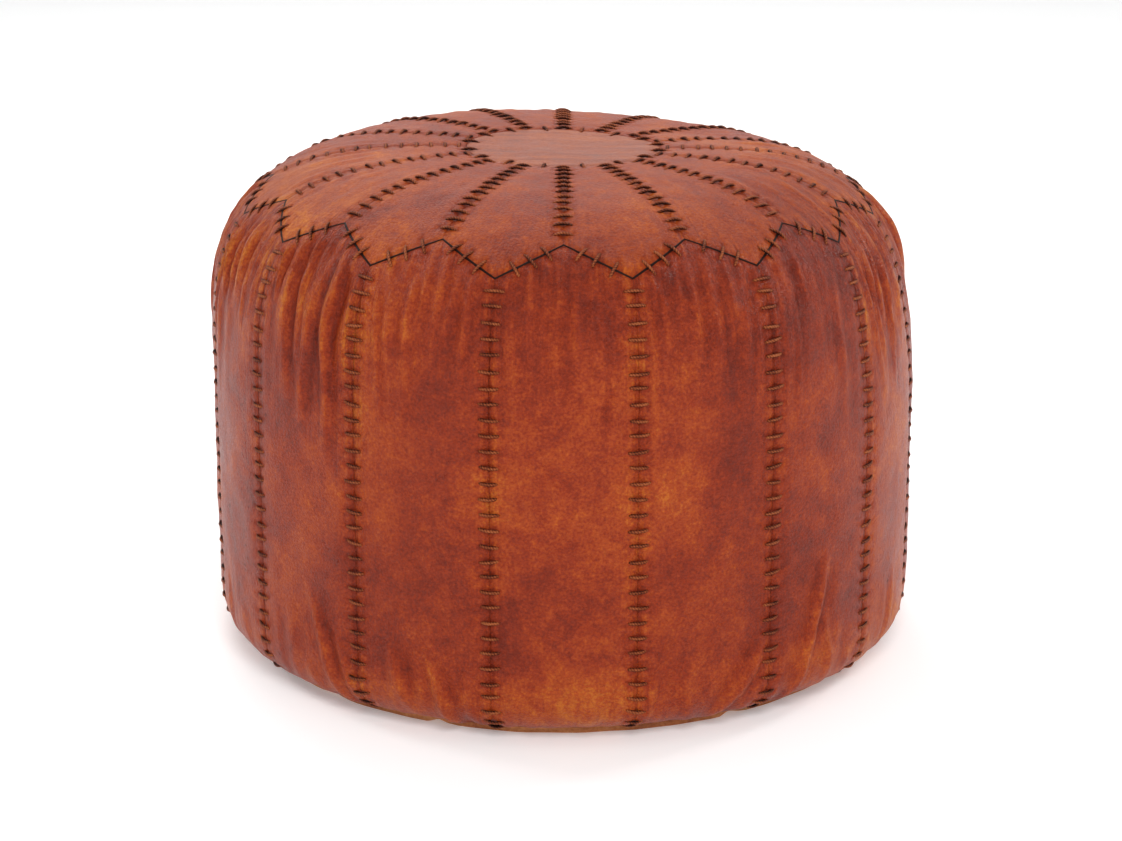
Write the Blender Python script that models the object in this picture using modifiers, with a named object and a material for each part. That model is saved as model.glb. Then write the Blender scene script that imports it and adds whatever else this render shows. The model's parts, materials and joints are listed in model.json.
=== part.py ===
"""Round leather pouf with sixteen petals, sixteen side panels, whip-stitched seams and a zip underneath.

The origin is the centre of the base, on the floor. +Z is up, the front is -Y, and lengths are in metres.
"""

import math

import bmesh
import bpy
from mathutils import Vector

# Overall size and the shape of the outline, which is a squarish curve above and below the widest level
POUF_DIAMETER = 0.510
POUF_HEIGHT = 0.365
WIDEST_HEIGHT = 0.168
SHOULDER_SQUARENESS = 4.6
FOOT_SQUARENESS = 10.0

# Leather cover
SECTORS = 16
LEATHER = 0.0020
SEAM_GAP = 0.0006
DISC_RADIUS = 0.070
PETAL_SEAM = 0.146
PETAL_TIP_EXTRA = 0.029

# Waxed cord of the whip stitching, as bands as wide as one stitch
STITCH_WIDTH = 0.0128
CORD = 0.0016
STITCH_LIFT = 0.0005
STITCH_CLEARANCE = 0.0010
FOOT_MARGIN = 0.0060

# Base, in two halves with a raised strip along the zip
BASE = 0.0040
RIM_OVERHANG = 0.0020
STRIP_RISE = 0.0040
STRIP_WIDTH = 0.0090
STRIP_SLOPE = 0.0080
ZIP_SLOT = 0.0140
SLOT_TO_RIM = 0.0420
SLOT_TAPER = 0.0060

# Zip
ZIP_MARGIN = 0.0020
SLIDER_STOP = 0.0300
TAPE = 0.0006
TAPE_OVERLAP = 0.0080
COIL_RADIUS = 0.0012
COIL_GAP = 0.0016
SLIDER_LENGTH = 0.0110
SLIDER_PLATE = 0.0011
SLIDER_WALL = 0.0009
SLIDER_CLEARANCE = 0.0004
POST_LENGTH = 0.0030
POST_CLEARANCE = 0.0003
BRIDGE_LENGTH = 0.0084
BRIDGE_BAR = 0.0010
BRIDGE_WIDTH = 0.0016
PULL = 0.0010
PULL_LENGTH = 0.0260
PULL_WIDTH = 0.0060
PULL_CLEARANCE = 0.0004
PULL_CORNER = 0.0022

# Filling
LINER = 0.0008
LINER_CLEARANCE = 0.0013
FIT_GAP = 0.0003
CHANNEL_CLEARANCE = 0.0012

# Fineness of the facets
PANEL_COLUMNS = 4
PANEL_ROWS = 15
PETAL_ROWS = 5
FILLING_SIDES = 32
FILLING_ROWS = 12
SAMPLES = 400

RADIUS = POUF_DIAMETER / 2
SECTOR = math.tau / SECTORS
LINER_DEPTH = LEATHER + LINER_CLEARANCE
FLOOR_OF_LINER = BASE + FIT_GAP
TAPE_BOTTOM = BASE + STRIP_RISE + FIT_GAP
COIL_HEIGHT = TAPE_BOTTOM + TAPE / 2

# The outline


def outline_point(phi):
    """Radius and height of the outline at an angle: a right angle is the top, 0 the widest level."""
    squareness = SHOULDER_SQUARENESS if phi >= 0 else FOOT_SQUARENESS
    height = POUF_HEIGHT - WIDEST_HEIGHT if phi >= 0 else WIDEST_HEIGHT
    radius = RADIUS * math.cos(phi) ** (2 / squareness)
    rise = height * abs(math.sin(phi)) ** (2 / squareness)
    return Vector((radius, WIDEST_HEIGHT + math.copysign(rise, phi)))


def outline_step(phi):
    """Change of the outline's point for each radian, downwards along the leather."""
    small = 1e-4
    return (outline_point(phi - small) - outline_point(phi + small)) / (2 * small)


def outline_normal(phi):
    """Outward unit normal of the outline."""
    step = outline_step(phi).normalized()
    return Vector((-step.y, step.x))


def further_down(phi, distance):
    """The angle that lies a distance down the leather from another angle."""
    pieces = 40
    for _ in range(pieces):
        phi -= distance / pieces / outline_step(phi).length
    return phi


def outline_stretch(start, end, pieces):
    """Angles that split a stretch of the outline evenly by its length and by how much it turns."""
    angles = [start + (end - start) * i / SAMPLES for i in range(SAMPLES + 1)]
    cost = [0.0]
    for before, after in zip(angles, angles[1:]):
        run = (outline_point(after) - outline_point(before)).length
        turn = outline_normal(before).angle(outline_normal(after))
        cost.append(cost[-1] + run / POUF_HEIGHT + turn)
    chosen = []
    for i in range(pieces + 1):
        wanted = cost[-1] * i / pieces
        k = min(sum(c < wanted for c in cost), SAMPLES)
        chosen.append(angles[k])
    chosen[0] = start
    chosen[-1] = end
    return chosen


def angle_at_radius(radius):
    """Angle of the outline at a radius, on its upper half."""
    return math.acos((radius / RADIUS) ** (SHOULDER_SQUARENESS / 2))


def angle_at_height(height):
    """Angle of the outline at a height, on its lower half."""
    return -math.asin((1 - height / WIDEST_HEIGHT) ** (FOOT_SQUARENESS / 2))


DISC_ANGLE = angle_at_radius(DISC_RADIUS)
PEAK_ANGLE = further_down(DISC_ANGLE, PETAL_SEAM)
VALLEY_ANGLE = further_down(PEAK_ANGLE, PETAL_TIP_EXTRA)
FOOT_ANGLE = angle_at_height(BASE + FIT_GAP)
BASE_RADIUS = outline_point(FOOT_ANGLE).x + RIM_OVERHANG
SLOT_END = BASE_RADIUS - SLOT_TO_RIM
ZIP_END = SLOT_END - ZIP_MARGIN
SLIDER_PLACE = SLIDER_STOP - SLOT_END
LEG_RUN = SECTOR / 2 * outline_point((PEAK_ANGLE + VALLEY_ANGLE) / 2).x
BAND_HALF_HEIGHT = STITCH_WIDTH / 2 * math.hypot(LEG_RUN, PETAL_TIP_EXTRA) / LEG_RUN
BAND_END = BAND_HALF_HEIGHT + STITCH_CLEARANCE


def zigzag_angle(share):
    """Angle of the zigzag seam, from a peak at 0 to a valley at 1."""
    return PEAK_ANGLE + (VALLEY_ANGLE - PEAK_ANGLE) * share


def leather_point(azimuth, phi, lift=0.0):
    """A point of the leather's outer face; the azimuth is 0 at the front and grows towards +X."""
    flat = outline_point(phi) + outline_normal(phi) * lift
    return Vector((flat.x * math.sin(azimuth), -flat.x * math.cos(azimuth), flat.y))


# Helpers for making objects


def make_collection(name):
    """A collection of that name, linked to the scene."""
    collection = bpy.data.collections.new(name)
    bpy.context.scene.collection.children.link(collection)
    return collection


def make_material(name, colour, roughness, metallic=0.0):
    """A plain material with one colour and one gloss."""
    material = bpy.data.materials.new(name)
    material.use_nodes = True
    shader = material.node_tree.nodes["Principled BSDF"]
    shader.inputs["Base Color"].default_value = (*colour, 1.0)
    shader.inputs["Roughness"].default_value = roughness
    shader.inputs["Metallic"].default_value = metallic
    return material


def add_object(name, bm, material, collection, smooth_below=30.0):
    """Turns a bmesh into an object with smooth shading below an angle in degrees."""
    mesh = bpy.data.meshes.new(name)
    bm.to_mesh(mesh)
    bm.free()
    mesh.shade_smooth()
    mesh.set_sharp_from_angle(angle=math.radians(smooth_below))
    mesh.materials.append(material)
    part = bpy.data.objects.new(name, mesh)
    collection.objects.link(part)
    return part


def add_wall(part, thickness, side):
    """Gives an open surface its thickness: side -1 is inwards, and 1 is outwards."""
    wall = part.modifiers.new("Wall", "SOLIDIFY")
    wall.thickness = thickness
    wall.offset = side
    wall.use_even_offset = True


def add_boolean(part, tool, operation):
    """Cuts a tool out of a part, or joins it to the part."""
    change = part.modifiers.new(operation.title(), "BOOLEAN")
    change.operation = operation
    change.object = tool
    change.solver = "EXACT"


def mapped_grid(bm, columns, rows, place, keeps=None):
    """Adds a grid to bm, without the cells that keeps refuses, and puts each vertex where place says.

    Both are asked with a column and a row, and row 0 is the top one.
    """
    grid = bmesh.ops.create_grid(bm, x_segments=columns, y_segments=rows, size=1.0)
    address = {}
    for vertex in grid["verts"]:
        column = round((vertex.co.x + 1) / 2 * columns)
        row = round((1 - vertex.co.y) / 2 * rows)
        address[vertex] = (column, row)
    if keeps:
        cells = [face for face in bm.faces if face.verts[0] in address]
        unwanted = []
        for cell in cells:
            column = min(address[vertex][0] for vertex in cell.verts)
            row = min(address[vertex][1] for vertex in cell.verts)
            if not keeps(column, row):
                unwanted.append(cell)
        bmesh.ops.delete(bm, geom=unwanted, context="FACES")
    for vertex, (column, row) in address.items():
        if vertex.is_valid:
            vertex.co = place(column, row)


def add_box(name, low, high, material, collection):
    """A box between two corners."""
    bm = bmesh.new()
    bmesh.ops.create_cube(bm, size=1.0)
    low, high = Vector(low), Vector(high)
    bmesh.ops.scale(bm, vec=high - low, verts=bm.verts)
    bmesh.ops.translate(bm, vec=(low + high) / 2, verts=bm.verts)
    return add_object(name, bm, material, collection)


def add_extrusion(name, outline, start, end, material, collection):
    """A prism along X between two places, from the corners of its section in the YZ plane."""
    bm = bmesh.new()
    corners = [bm.verts.new((start, y, z)) for y, z in outline]
    face = bm.faces.new(corners)
    grown = bmesh.ops.extrude_face_region(bm, geom=[face])
    moved = [item for item in grown["geom"] if isinstance(item, bmesh.types.BMVert)]
    bmesh.ops.translate(bm, vec=(end - start, 0, 0), verts=moved)
    bmesh.ops.recalc_face_normals(bm, faces=bm.faces)
    return add_object(name, bm, material, collection)


def as_cutter(tool):
    """Marks an object as a tool that is not part of the pouf."""
    tool.hide_render = True
    tool.display_type = "WIRE"
    return tool


# Leather cover


def add_top_disc(material, collection):
    """The plain round piece in the middle of the top."""
    bm = bmesh.new()
    radius = DISC_RADIUS - SEAM_GAP / 2
    sides = SECTORS * PANEL_COLUMNS
    bmesh.ops.create_cone(
        bm, cap_ends=True, segments=sides, radius1=radius, radius2=radius, depth=LEATHER
    )
    bmesh.ops.translate(bm, vec=(0, 0, POUF_HEIGHT - LEATHER / 2), verts=bm.verts)
    add_object("top_disc", bm, material, collection)


def add_leather(name, centre, top, bottom, rows, material, collection):
    """One sector-wide piece of leather between two seams that top and bottom give for each side share."""
    columns = []
    for i in range(PANEL_COLUMNS + 1):
        across = 2 * i / PANEL_COLUMNS - 1
        columns.append((across, outline_stretch(top(abs(across)), bottom(abs(across)), rows)))

    def place(column, row):
        across, angles = columns[column]
        phi = angles[row]
        half_width = SECTOR / 2 - SEAM_GAP / 2 / outline_point(phi).x
        return leather_point(centre + across * half_width, phi)

    bm = bmesh.new()
    mapped_grid(bm, PANEL_COLUMNS, rows, place)
    part = add_object(name, bm, material, collection)
    add_wall(part, LEATHER, -1)


def add_petal(number, material, collection):
    """A petal of the top, with its tip down at a valley of the zigzag."""
    add_leather(
        f"petal_{number:02d}",
        (number - 0.5) * SECTOR,
        lambda side: further_down(DISC_ANGLE, SEAM_GAP / 2),
        lambda side: further_down(zigzag_angle(1 - side), -SEAM_GAP / 2),
        PETAL_ROWS,
        material,
        collection,
    )


def add_side_panel(number, material, collection):
    """A side panel, with its upper edge like a roof that peaks at a petal seam."""
    add_leather(
        f"side_panel_{number:02d}",
        (number - 1) * SECTOR,
        lambda side: further_down(zigzag_angle(side), SEAM_GAP / 2),
        lambda side: FOOT_ANGLE,
        PANEL_ROWS,
        material,
        collection,
    )


# Whip stitching


def add_side_thread(number, material, collection):
    """The stitching down one side seam, from below the zigzag's valley to above the base."""
    azimuth = (number - 0.5) * SECTOR
    start = further_down(VALLEY_ANGLE, BAND_END)
    end = further_down(FOOT_ANGLE, -FOOT_MARGIN)
    edge = outline_stretch(further_down(VALLEY_ANGLE, SEAM_GAP / 2), FOOT_ANGLE, PANEL_ROWS)
    angles = [start, *(phi for phi in edge if end < phi < start), end]

    def place(column, row):
        phi = angles[row]
        half_width = STITCH_WIDTH / 2 / outline_point(phi).x
        return leather_point(azimuth + (2 * column - 1) * half_width, phi, STITCH_LIFT)

    bm = bmesh.new()
    mapped_grid(bm, 1, len(angles) - 1, place)
    part = add_object(f"side_thread_{number:02d}", bm, material, collection)
    add_wall(part, CORD, 1)


def add_crown_thread(material, collection):
    """The stitching round the disc and down every petal seam, joined where the seams meet."""
    ring_top = further_down(DISC_ANGLE, -STITCH_WIDTH / 2)
    ring_bottom = further_down(DISC_ANGLE, STITCH_WIDTH / 2)
    spoke = outline_stretch(ring_bottom, further_down(PEAK_ANGLE, -BAND_END), PETAL_ROWS)
    angles = [ring_top, *spoke]
    bm = bmesh.new()
    for number in range(SECTORS):

        def place(column, row, azimuth=number * SECTOR):
            phi = angles[row]
            half_width = STITCH_WIDTH / 2 / outline_point(phi).x
            sides = (-SECTOR / 2, -half_width, half_width, SECTOR / 2)
            return leather_point(azimuth + sides[column], phi, STITCH_LIFT)

        mapped_grid(bm, 3, len(spoke), place, lambda column, row: row == 0 or column == 1)
    bmesh.ops.remove_doubles(bm, verts=bm.verts, dist=1e-5)
    part = add_object("crown_thread", bm, material, collection)
    add_wall(part, CORD, 1)


def add_zigzag_thread(material, collection):
    """The stitching along the zigzag seam, as one closed band round the shoulder."""
    stations = SECTORS * PANEL_COLUMNS

    def place(column, row):
        share = abs((column / PANEL_COLUMNS + 0.5) % 1.0 - 0.5) * 2
        middle = zigzag_angle(share)
        phi = further_down(middle, (row - 1) * BAND_HALF_HEIGHT)
        return leather_point(column / PANEL_COLUMNS * SECTOR, phi, STITCH_LIFT)

    bm = bmesh.new()
    mapped_grid(bm, stations, 2, place)
    bmesh.ops.remove_doubles(bm, verts=bm.verts, dist=1e-5)
    part = add_object("zigzag_thread", bm, material, collection)
    add_wall(part, CORD, 1)


# Base


def base_row_depths():
    """Distances from the zip's line of the rows that shape a half of the base, after its edge."""
    inner = ZIP_SLOT / 2 + STRIP_WIDTH
    outer = inner + STRIP_SLOPE
    start = math.asin(outer / BASE_RADIUS)
    pieces = 8
    arc = [start + (math.pi / 2 - start) * i / pieces for i in range(pieces + 1)]
    return [inner, *(BASE_RADIUS * math.sin(angle) for angle in arc)]


def add_base_half(name, side, material, collection):
    """Half of the base: side -1 is the front one. The strip along the zip is raised off the floor."""
    strip_end = SLOT_END + 2 * SLOT_TAPER
    places = [0.0, SLOT_END / 2, SLOT_END, SLOT_END + SLOT_TAPER, strip_end, BASE_RADIUS]
    shares = [x / BASE_RADIUS for x in places]
    shares = [-share for share in reversed(shares[1:])] + shares
    depths = base_row_depths()
    rows = len(depths)

    def place(column, row):
        share = shares[column]
        along = abs(share) * BASE_RADIUS
        in_slot = along < SLOT_END + SLOT_TAPER / 2
        edge = ZIP_SLOT / 2 if in_slot else SEAM_GAP / 2
        depth = depths[rows - 1 - row] if row < rows else edge
        raised = depth < depths[1] - 1e-6 and along < strip_end - 1e-6
        x = share * math.sqrt(max(BASE_RADIUS**2 - depth**2, 0.0))
        return Vector((x, depth, STRIP_RISE if raised else 0.0))

    bm = bmesh.new()
    mapped_grid(bm, len(shares) - 1, rows, place)
    bmesh.ops.remove_doubles(bm, verts=bm.verts, dist=1e-5)
    if side < 0:
        bmesh.ops.scale(bm, vec=(1, -1, 1), verts=bm.verts)
    for face in bm.faces:
        face.normal_update()
        if face.normal.z > 0:
            face.normal_flip()
    part = add_object(name, bm, material, collection)
    wall = part.modifiers.new("Wall", "SOLIDIFY")
    wall.thickness = BASE
    wall.offset = -1
    wall.use_even_offset = False


# Filling


def filling_profile(depth, floor):
    """Half section of a body inside the leather, from the top of its axis down and back to the axis."""
    start = angle_at_radius(DISC_RADIUS)
    angles = outline_stretch(start, FOOT_ANGLE, FILLING_ROWS)
    points = [outline_point(phi) - outline_normal(phi) * depth for phi in angles]
    top = Vector((0.0, POUF_HEIGHT - depth))
    corner = Vector((points[-1].x - depth, floor))
    return [top, *points, corner, Vector((0.0, floor))]


def add_turned(name, profile, material, collection):
    """A round body turned about the Z axis from its half section."""
    bm = bmesh.new()
    vertices = [bm.verts.new((point.x, 0, point.y)) for point in profile]
    for before, after in zip(vertices, vertices[1:]):
        bm.edges.new((before, after))
    part = add_object(name, bm, material, collection)
    screw = part.modifiers.new("Turn", "SCREW")
    screw.steps = FILLING_SIDES
    screw.render_steps = FILLING_SIDES
    screw.use_merge_vertices = True
    screw.merge_threshold = 0.0001
    screw.use_smooth_shade = True
    return part


def add_channel_cutter(material, cutters):
    """The room over the zip that the liner's slit and the filling leave free."""
    half_width = ZIP_SLOT / 2 + STRIP_WIDTH + STRIP_SLOPE + CHANNEL_CLEARANCE
    half_length = SLOT_END + 2 * SLOT_TAPER + CHANNEL_CLEARANCE
    top = COIL_HEIGHT + COIL_RADIUS + SLIDER_CLEARANCE + SLIDER_PLATE + CHANNEL_CLEARANCE
    return as_cutter(
        add_box(
            "zip_channel_cutter",
            (-half_length, -half_width, -BASE),
            (half_length, half_width, top),
            material,
            cutters,
        )
    )


def add_filling(cotton, fibre, collection, cutters):
    """The liner bag with its slit, and the stuffing that fills it."""
    channel = add_channel_cutter(cotton, cutters)
    liner = add_turned("liner_bag", filling_profile(LINER_DEPTH, FLOOR_OF_LINER), cotton, collection)
    add_wall(liner, LINER, -1)
    add_boolean(liner, channel, "DIFFERENCE")
    depth = LINER_DEPTH + LINER + FIT_GAP
    floor = FLOOR_OF_LINER + LINER + FIT_GAP
    stuffing = add_turned("stuffing", filling_profile(depth, floor), fibre, collection)
    add_boolean(stuffing, channel, "DIFFERENCE")


# Zip


def add_stringer(name, side, material, collection):
    """One tape of the zip with the coil along its inner edge: side -1 is the front one."""
    centre = COIL_GAP / 2 + COIL_RADIUS
    tape_end = ZIP_SLOT / 2 + TAPE_OVERLAP
    lean = math.asin(TAPE / 2 / COIL_RADIUS)
    steps = 8
    outline = [(tape_end, COIL_HEIGHT + TAPE / 2)]
    for i in range(steps + 1):
        turn = lean + (math.tau - 2 * lean) * i / steps
        y = centre + COIL_RADIUS * math.cos(turn)
        outline.append((y, COIL_HEIGHT + COIL_RADIUS * math.sin(turn)))
    outline.append((tape_end, COIL_HEIGHT - TAPE / 2))
    outline = [(side * y, z) for y, z in outline]
    add_extrusion(name, outline, -ZIP_END, ZIP_END, material, collection)


def slider_channel(sign):
    """Section of one plate of the slider with its side walls: sign -1 is the lower plate."""
    inner = COIL_GAP / 2 + 2 * COIL_RADIUS + SLIDER_CLEARANCE
    outer = inner + SLIDER_WALL
    face = COIL_RADIUS + SLIDER_CLEARANCE
    lip = TAPE / 2 + SLIDER_CLEARANCE
    half = [(outer, face + SLIDER_PLATE), (outer, lip), (inner, lip), (inner, face)]
    both = half + [(-y, z) for y, z in reversed(half)]
    return [(y, sign * z) for y, z in both]


def add_slider(material, collection, cutters):
    """The slider: two plates, the post between the coils, and the bridge that holds the pull."""
    half = SLIDER_LENGTH / 2
    slider = add_extrusion("zip_slider", slider_channel(-1), -half, half, material, collection)
    upper = add_extrusion("slider_upper", slider_channel(1), -half, half, material, cutters)
    plate = COIL_RADIUS + SLIDER_CLEARANCE + SLIDER_PLATE
    inside = plate - SLIDER_PLATE / 2
    post_half = COIL_GAP / 2 - POST_CLEARANCE
    post = add_box(
        "slider_post",
        (-POST_LENGTH / 2, -post_half, -inside),
        (POST_LENGTH / 2, post_half, inside),
        material,
        cutters,
    )
    bar_top = -plate - PULL - 2 * PULL_CLEARANCE
    bar_bottom = bar_top - BRIDGE_BAR
    reach = BRIDGE_LENGTH / 2
    wide = BRIDGE_WIDTH / 2
    bar = add_box("bridge_bar", (-reach, -wide, bar_bottom), (reach, wide, bar_top), material, cutters)
    tools = [upper, post, bar]
    for side in (-1, 1):
        ends = sorted((side * reach, side * (reach - BRIDGE_BAR)))
        low = (ends[0], -wide, bar_bottom + BRIDGE_BAR / 2)
        tools.append(add_box("bridge_foot", low, (ends[1], wide, -inside), material, cutters))
    for tool in tools:
        as_cutter(tool)
        tool.parent = slider
        add_boolean(slider, tool, "UNION")
    slider.location = (SLIDER_PLACE, 0, COIL_HEIGHT)
    return slider


def add_pull(slider, material, collection, cutters):
    """The pull tab: its cross bar passes through the bridge, and turns there."""
    half_width = PULL_WIDTH / 2
    window = BRIDGE_WIDTH / 2 + PULL_CLEARANCE
    window_end = math.hypot(BRIDGE_LENGTH / 2, PULL + 2 * PULL_CLEARANCE + BRIDGE_BAR) + PULL_CLEARANCE
    pull = add_box(
        "zip_pull",
        (-PULL / 2, -half_width, -PULL / 2),
        (PULL_LENGTH, half_width, PULL / 2),
        material,
        collection,
    )
    round_ends = pull.modifiers.new("Round end", "BEVEL")
    round_ends.width = PULL_CORNER
    round_ends.segments = 3
    round_ends.limit_method = "WEIGHT"
    weights = pull.data.attributes.new("bevel_weight_edge", "FLOAT", "EDGE")
    for edge in pull.data.edges:
        ends = [pull.data.vertices[i].co for i in edge.vertices]
        is_tip_corner = all(point.x > PULL_LENGTH / 2 for point in ends) and ends[0].y == ends[1].y
        weights.data[edge.index].value = 1.0 if is_tip_corner else 0.0
    opening = add_box(
        "pull_window",
        (PULL / 2, -window, -PULL),
        (window_end, window, PULL),
        material,
        cutters,
    )
    as_cutter(opening)
    opening.parent = pull
    add_boolean(pull, opening, "DIFFERENCE")
    pull.parent = slider
    drop = COIL_RADIUS + SLIDER_CLEARANCE + SLIDER_PLATE + PULL_CLEARANCE + PULL / 2
    pull.location = (0, 0, -drop)


def main():
    """Clears the scene and builds the pouf."""
    for old in list(bpy.data.objects):
        bpy.data.objects.remove(old, do_unlink=True)
    pouf = make_collection("moroccan_leather_pouf")
    cutters = make_collection("cutters")
    disc_leather = make_material("Disc leather", (0.34, 0.13, 0.08), 0.45)
    petal_leather = make_material("Petal leather", (0.37, 0.11, 0.045), 0.45)
    side_leather = make_material("Side leather", (0.30, 0.075, 0.035), 0.45)
    base_leather = make_material("Base leather", (0.38, 0.19, 0.08), 0.7)
    waxed_cord = make_material("Waxed cord", (0.14, 0.055, 0.025), 0.6)
    cotton = make_material("Cotton", (0.72, 0.66, 0.55), 0.9)
    fibre = make_material("Fibre", (0.8, 0.78, 0.72), 0.95)
    zip_tape = make_material("Zip tape", (0.12, 0.07, 0.045), 0.8)
    zip_metal = make_material("Zip metal", (0.45, 0.33, 0.16), 0.4, 1.0)

    add_top_disc(disc_leather, pouf)
    for number in range(1, SECTORS + 1):
        add_petal(number, petal_leather, pouf)
        add_side_panel(number, side_leather, pouf)
        add_side_thread(number, waxed_cord, pouf)
    add_crown_thread(waxed_cord, pouf)
    add_zigzag_thread(waxed_cord, pouf)
    add_base_half("base_front", -1, base_leather, pouf)
    add_base_half("base_back", 1, base_leather, pouf)
    add_filling(cotton, fibre, pouf, cutters)
    add_stringer("zip_stringer_front", -1, zip_tape, pouf)
    add_stringer("zip_stringer_back", 1, zip_tape, pouf)
    slider = add_slider(zip_metal, pouf, cutters)
    add_pull(slider, zip_metal, pouf, cutters)


main()
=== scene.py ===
# %% [markdown]
# # A round leather floor cushion, whip stitched by hand
# The real cushion is a cover of thin goat leather, pulled tight over a stuffed cotton bag. Sixteen petals
# and sixteen side panels meet at seams that are closed with waxed cord. The CAD model already holds every
# piece in its place, so this lesson only makes each piece again with the detail that the eye expects.
# The frame is loaded first, because every size in this file comes from it.

# %% Load the frame
import bisect
import json
import math
import random

import bmesh
import bpy
from mathutils import Matrix, Vector, noise
from mathutils.bvhtree import BVHTree
from mathutils.kdtree import KDTree

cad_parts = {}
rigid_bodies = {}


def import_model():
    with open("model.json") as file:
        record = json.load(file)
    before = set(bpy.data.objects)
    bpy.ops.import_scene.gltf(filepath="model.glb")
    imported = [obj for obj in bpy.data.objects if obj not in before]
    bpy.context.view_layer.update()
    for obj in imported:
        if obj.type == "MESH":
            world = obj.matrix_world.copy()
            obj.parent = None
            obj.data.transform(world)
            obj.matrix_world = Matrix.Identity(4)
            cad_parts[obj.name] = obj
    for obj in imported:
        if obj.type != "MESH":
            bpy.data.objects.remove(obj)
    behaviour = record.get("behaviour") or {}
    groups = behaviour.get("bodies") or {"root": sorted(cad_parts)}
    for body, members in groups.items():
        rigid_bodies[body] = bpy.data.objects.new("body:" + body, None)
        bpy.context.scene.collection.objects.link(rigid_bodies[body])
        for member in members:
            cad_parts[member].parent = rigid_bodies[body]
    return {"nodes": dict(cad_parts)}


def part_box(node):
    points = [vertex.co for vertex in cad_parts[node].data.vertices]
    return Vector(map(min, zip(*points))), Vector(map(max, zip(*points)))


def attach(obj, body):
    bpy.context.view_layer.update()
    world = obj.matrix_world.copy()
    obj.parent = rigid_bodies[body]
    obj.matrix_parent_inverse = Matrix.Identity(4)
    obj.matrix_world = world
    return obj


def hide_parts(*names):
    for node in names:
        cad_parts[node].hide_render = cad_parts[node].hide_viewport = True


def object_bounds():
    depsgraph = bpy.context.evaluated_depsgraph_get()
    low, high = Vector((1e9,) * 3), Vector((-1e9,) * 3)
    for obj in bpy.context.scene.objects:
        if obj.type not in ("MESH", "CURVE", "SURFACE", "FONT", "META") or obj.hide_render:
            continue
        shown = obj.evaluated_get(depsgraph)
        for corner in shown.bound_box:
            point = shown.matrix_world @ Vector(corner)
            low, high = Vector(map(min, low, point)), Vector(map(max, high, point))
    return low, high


for leftover in list(bpy.data.objects):
    bpy.data.objects.remove(leftover)
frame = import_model()
CAD_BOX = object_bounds()
print("CAD box in metres:", [round(side, 3) for side in CAD_BOX[1] - CAD_BOX[0]])

# %% [markdown]
# The half section of the cushion is one smooth curve. It could be drawn by hand with a curve object, but
# a formula lets any point of the leather be asked for by its angle. The curve is a circle whose sine and
# cosine are raised to a power, which makes it squarer: a little at the shoulder, and a lot at the foot,
# where the weight of the filling presses the cover flat. Only the two powers and the share of the height
# where it is widest are stated here. The radius and the height are read from the frame.

# %% The half section
SECTORS = 16
SECTOR = math.tau / SECTORS
SHOULDER_SQUARENESS = 4.6
FOOT_SQUARENESS = 10.0
WIDEST_SHARE = 0.46
RADIUS = (CAD_BOX[1].x - CAD_BOX[0].x) / 2
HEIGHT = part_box("top_disc")[1].z
WIDEST_HEIGHT = HEIGHT * WIDEST_SHARE


def section_point(angle):
    """Radius and height at an angle: a quarter turn is the top, and 0 the widest level."""
    squareness = SHOULDER_SQUARENESS if angle >= 0 else FOOT_SQUARENESS
    rise = HEIGHT - WIDEST_HEIGHT if angle >= 0 else WIDEST_HEIGHT
    radius = RADIUS * max(math.cos(angle), 0.0) ** (2 / squareness)
    height = rise * abs(math.sin(angle)) ** (2 / squareness)
    return Vector((radius, WIDEST_HEIGHT + math.copysign(height, angle)))


def section_normal(angle):
    """Outward unit normal of the half section."""
    step = section_point(angle - 1e-4) - section_point(min(angle + 1e-4, math.pi / 2))
    step.normalize()
    return Vector((-step.y, step.x))


print(f"Radius {RADIUS:.3f} m, height {HEIGHT:.3f} m, widest at {WIDEST_HEIGHT:.3f} m")

# %% [markdown]
# A cutter thinks in lengths along the leather, not in angles. So the curve is walked once from the middle
# of the top to the floor, and the distance walked is noted at each step. After that, any place on the
# cover is named by two numbers: the azimuth round the axis, with 0 at the front, and how far down it is.

# %% Lengths along the leather
STEPS = 2500


def walk_angles():
    """Angles from the top to the floor, close enough that each step is a fraction of a millimetre."""
    shares = [step / STEPS for step in range(STEPS)]
    angles = {math.acos(share ** (SHOULDER_SQUARENESS / 2)) for share in shares}
    angles |= {math.asin(share ** (SHOULDER_SQUARENESS / 2)) for share in shares}
    angles |= {-math.acos(share ** (FOOT_SQUARENESS / 2)) for share in shares[1:]}
    angles |= {-math.asin(share ** (FOOT_SQUARENESS / 2)) for share in shares}
    return sorted(angles, reverse=True)


WALK_ANGLES = walk_angles()
WALK_LENGTHS = [0.0]
for before, after in zip(WALK_ANGLES, WALK_ANGLES[1:]):
    WALK_LENGTHS.append(WALK_LENGTHS[-1] + (section_point(after) - section_point(before)).length)


def angle_at(down):
    """The angle of the half section at a distance down from the middle of the top."""
    step = min(max(bisect.bisect_left(WALK_LENGTHS, down), 1), len(WALK_LENGTHS) - 1)
    share = (down - WALK_LENGTHS[step - 1]) / (WALK_LENGTHS[step] - WALK_LENGTHS[step - 1])
    return WALK_ANGLES[step - 1] + (WALK_ANGLES[step] - WALK_ANGLES[step - 1]) * share


def down_where(test):
    """How far down the first place lies whose section point and normal pass a test."""
    for angle, down in zip(WALK_ANGLES, WALK_LENGTHS):
        if down > 0.02 and test(section_point(angle), section_normal(angle)):
            return down
    raise ValueError("no such place on the half section")


def smooth_share(value, start, end):
    """Rises smoothly from 0 at start to 1 at end."""
    share = min(max((value - start) / (end - start), 0.0), 1.0)
    return share * share * (3 - 2 * share)


TOP_SETTLES = 0.0015
BACK_RIGHT_SETTLES = 0.0065
RIGHT_SHOULDER_IN = 0.0075


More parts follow.
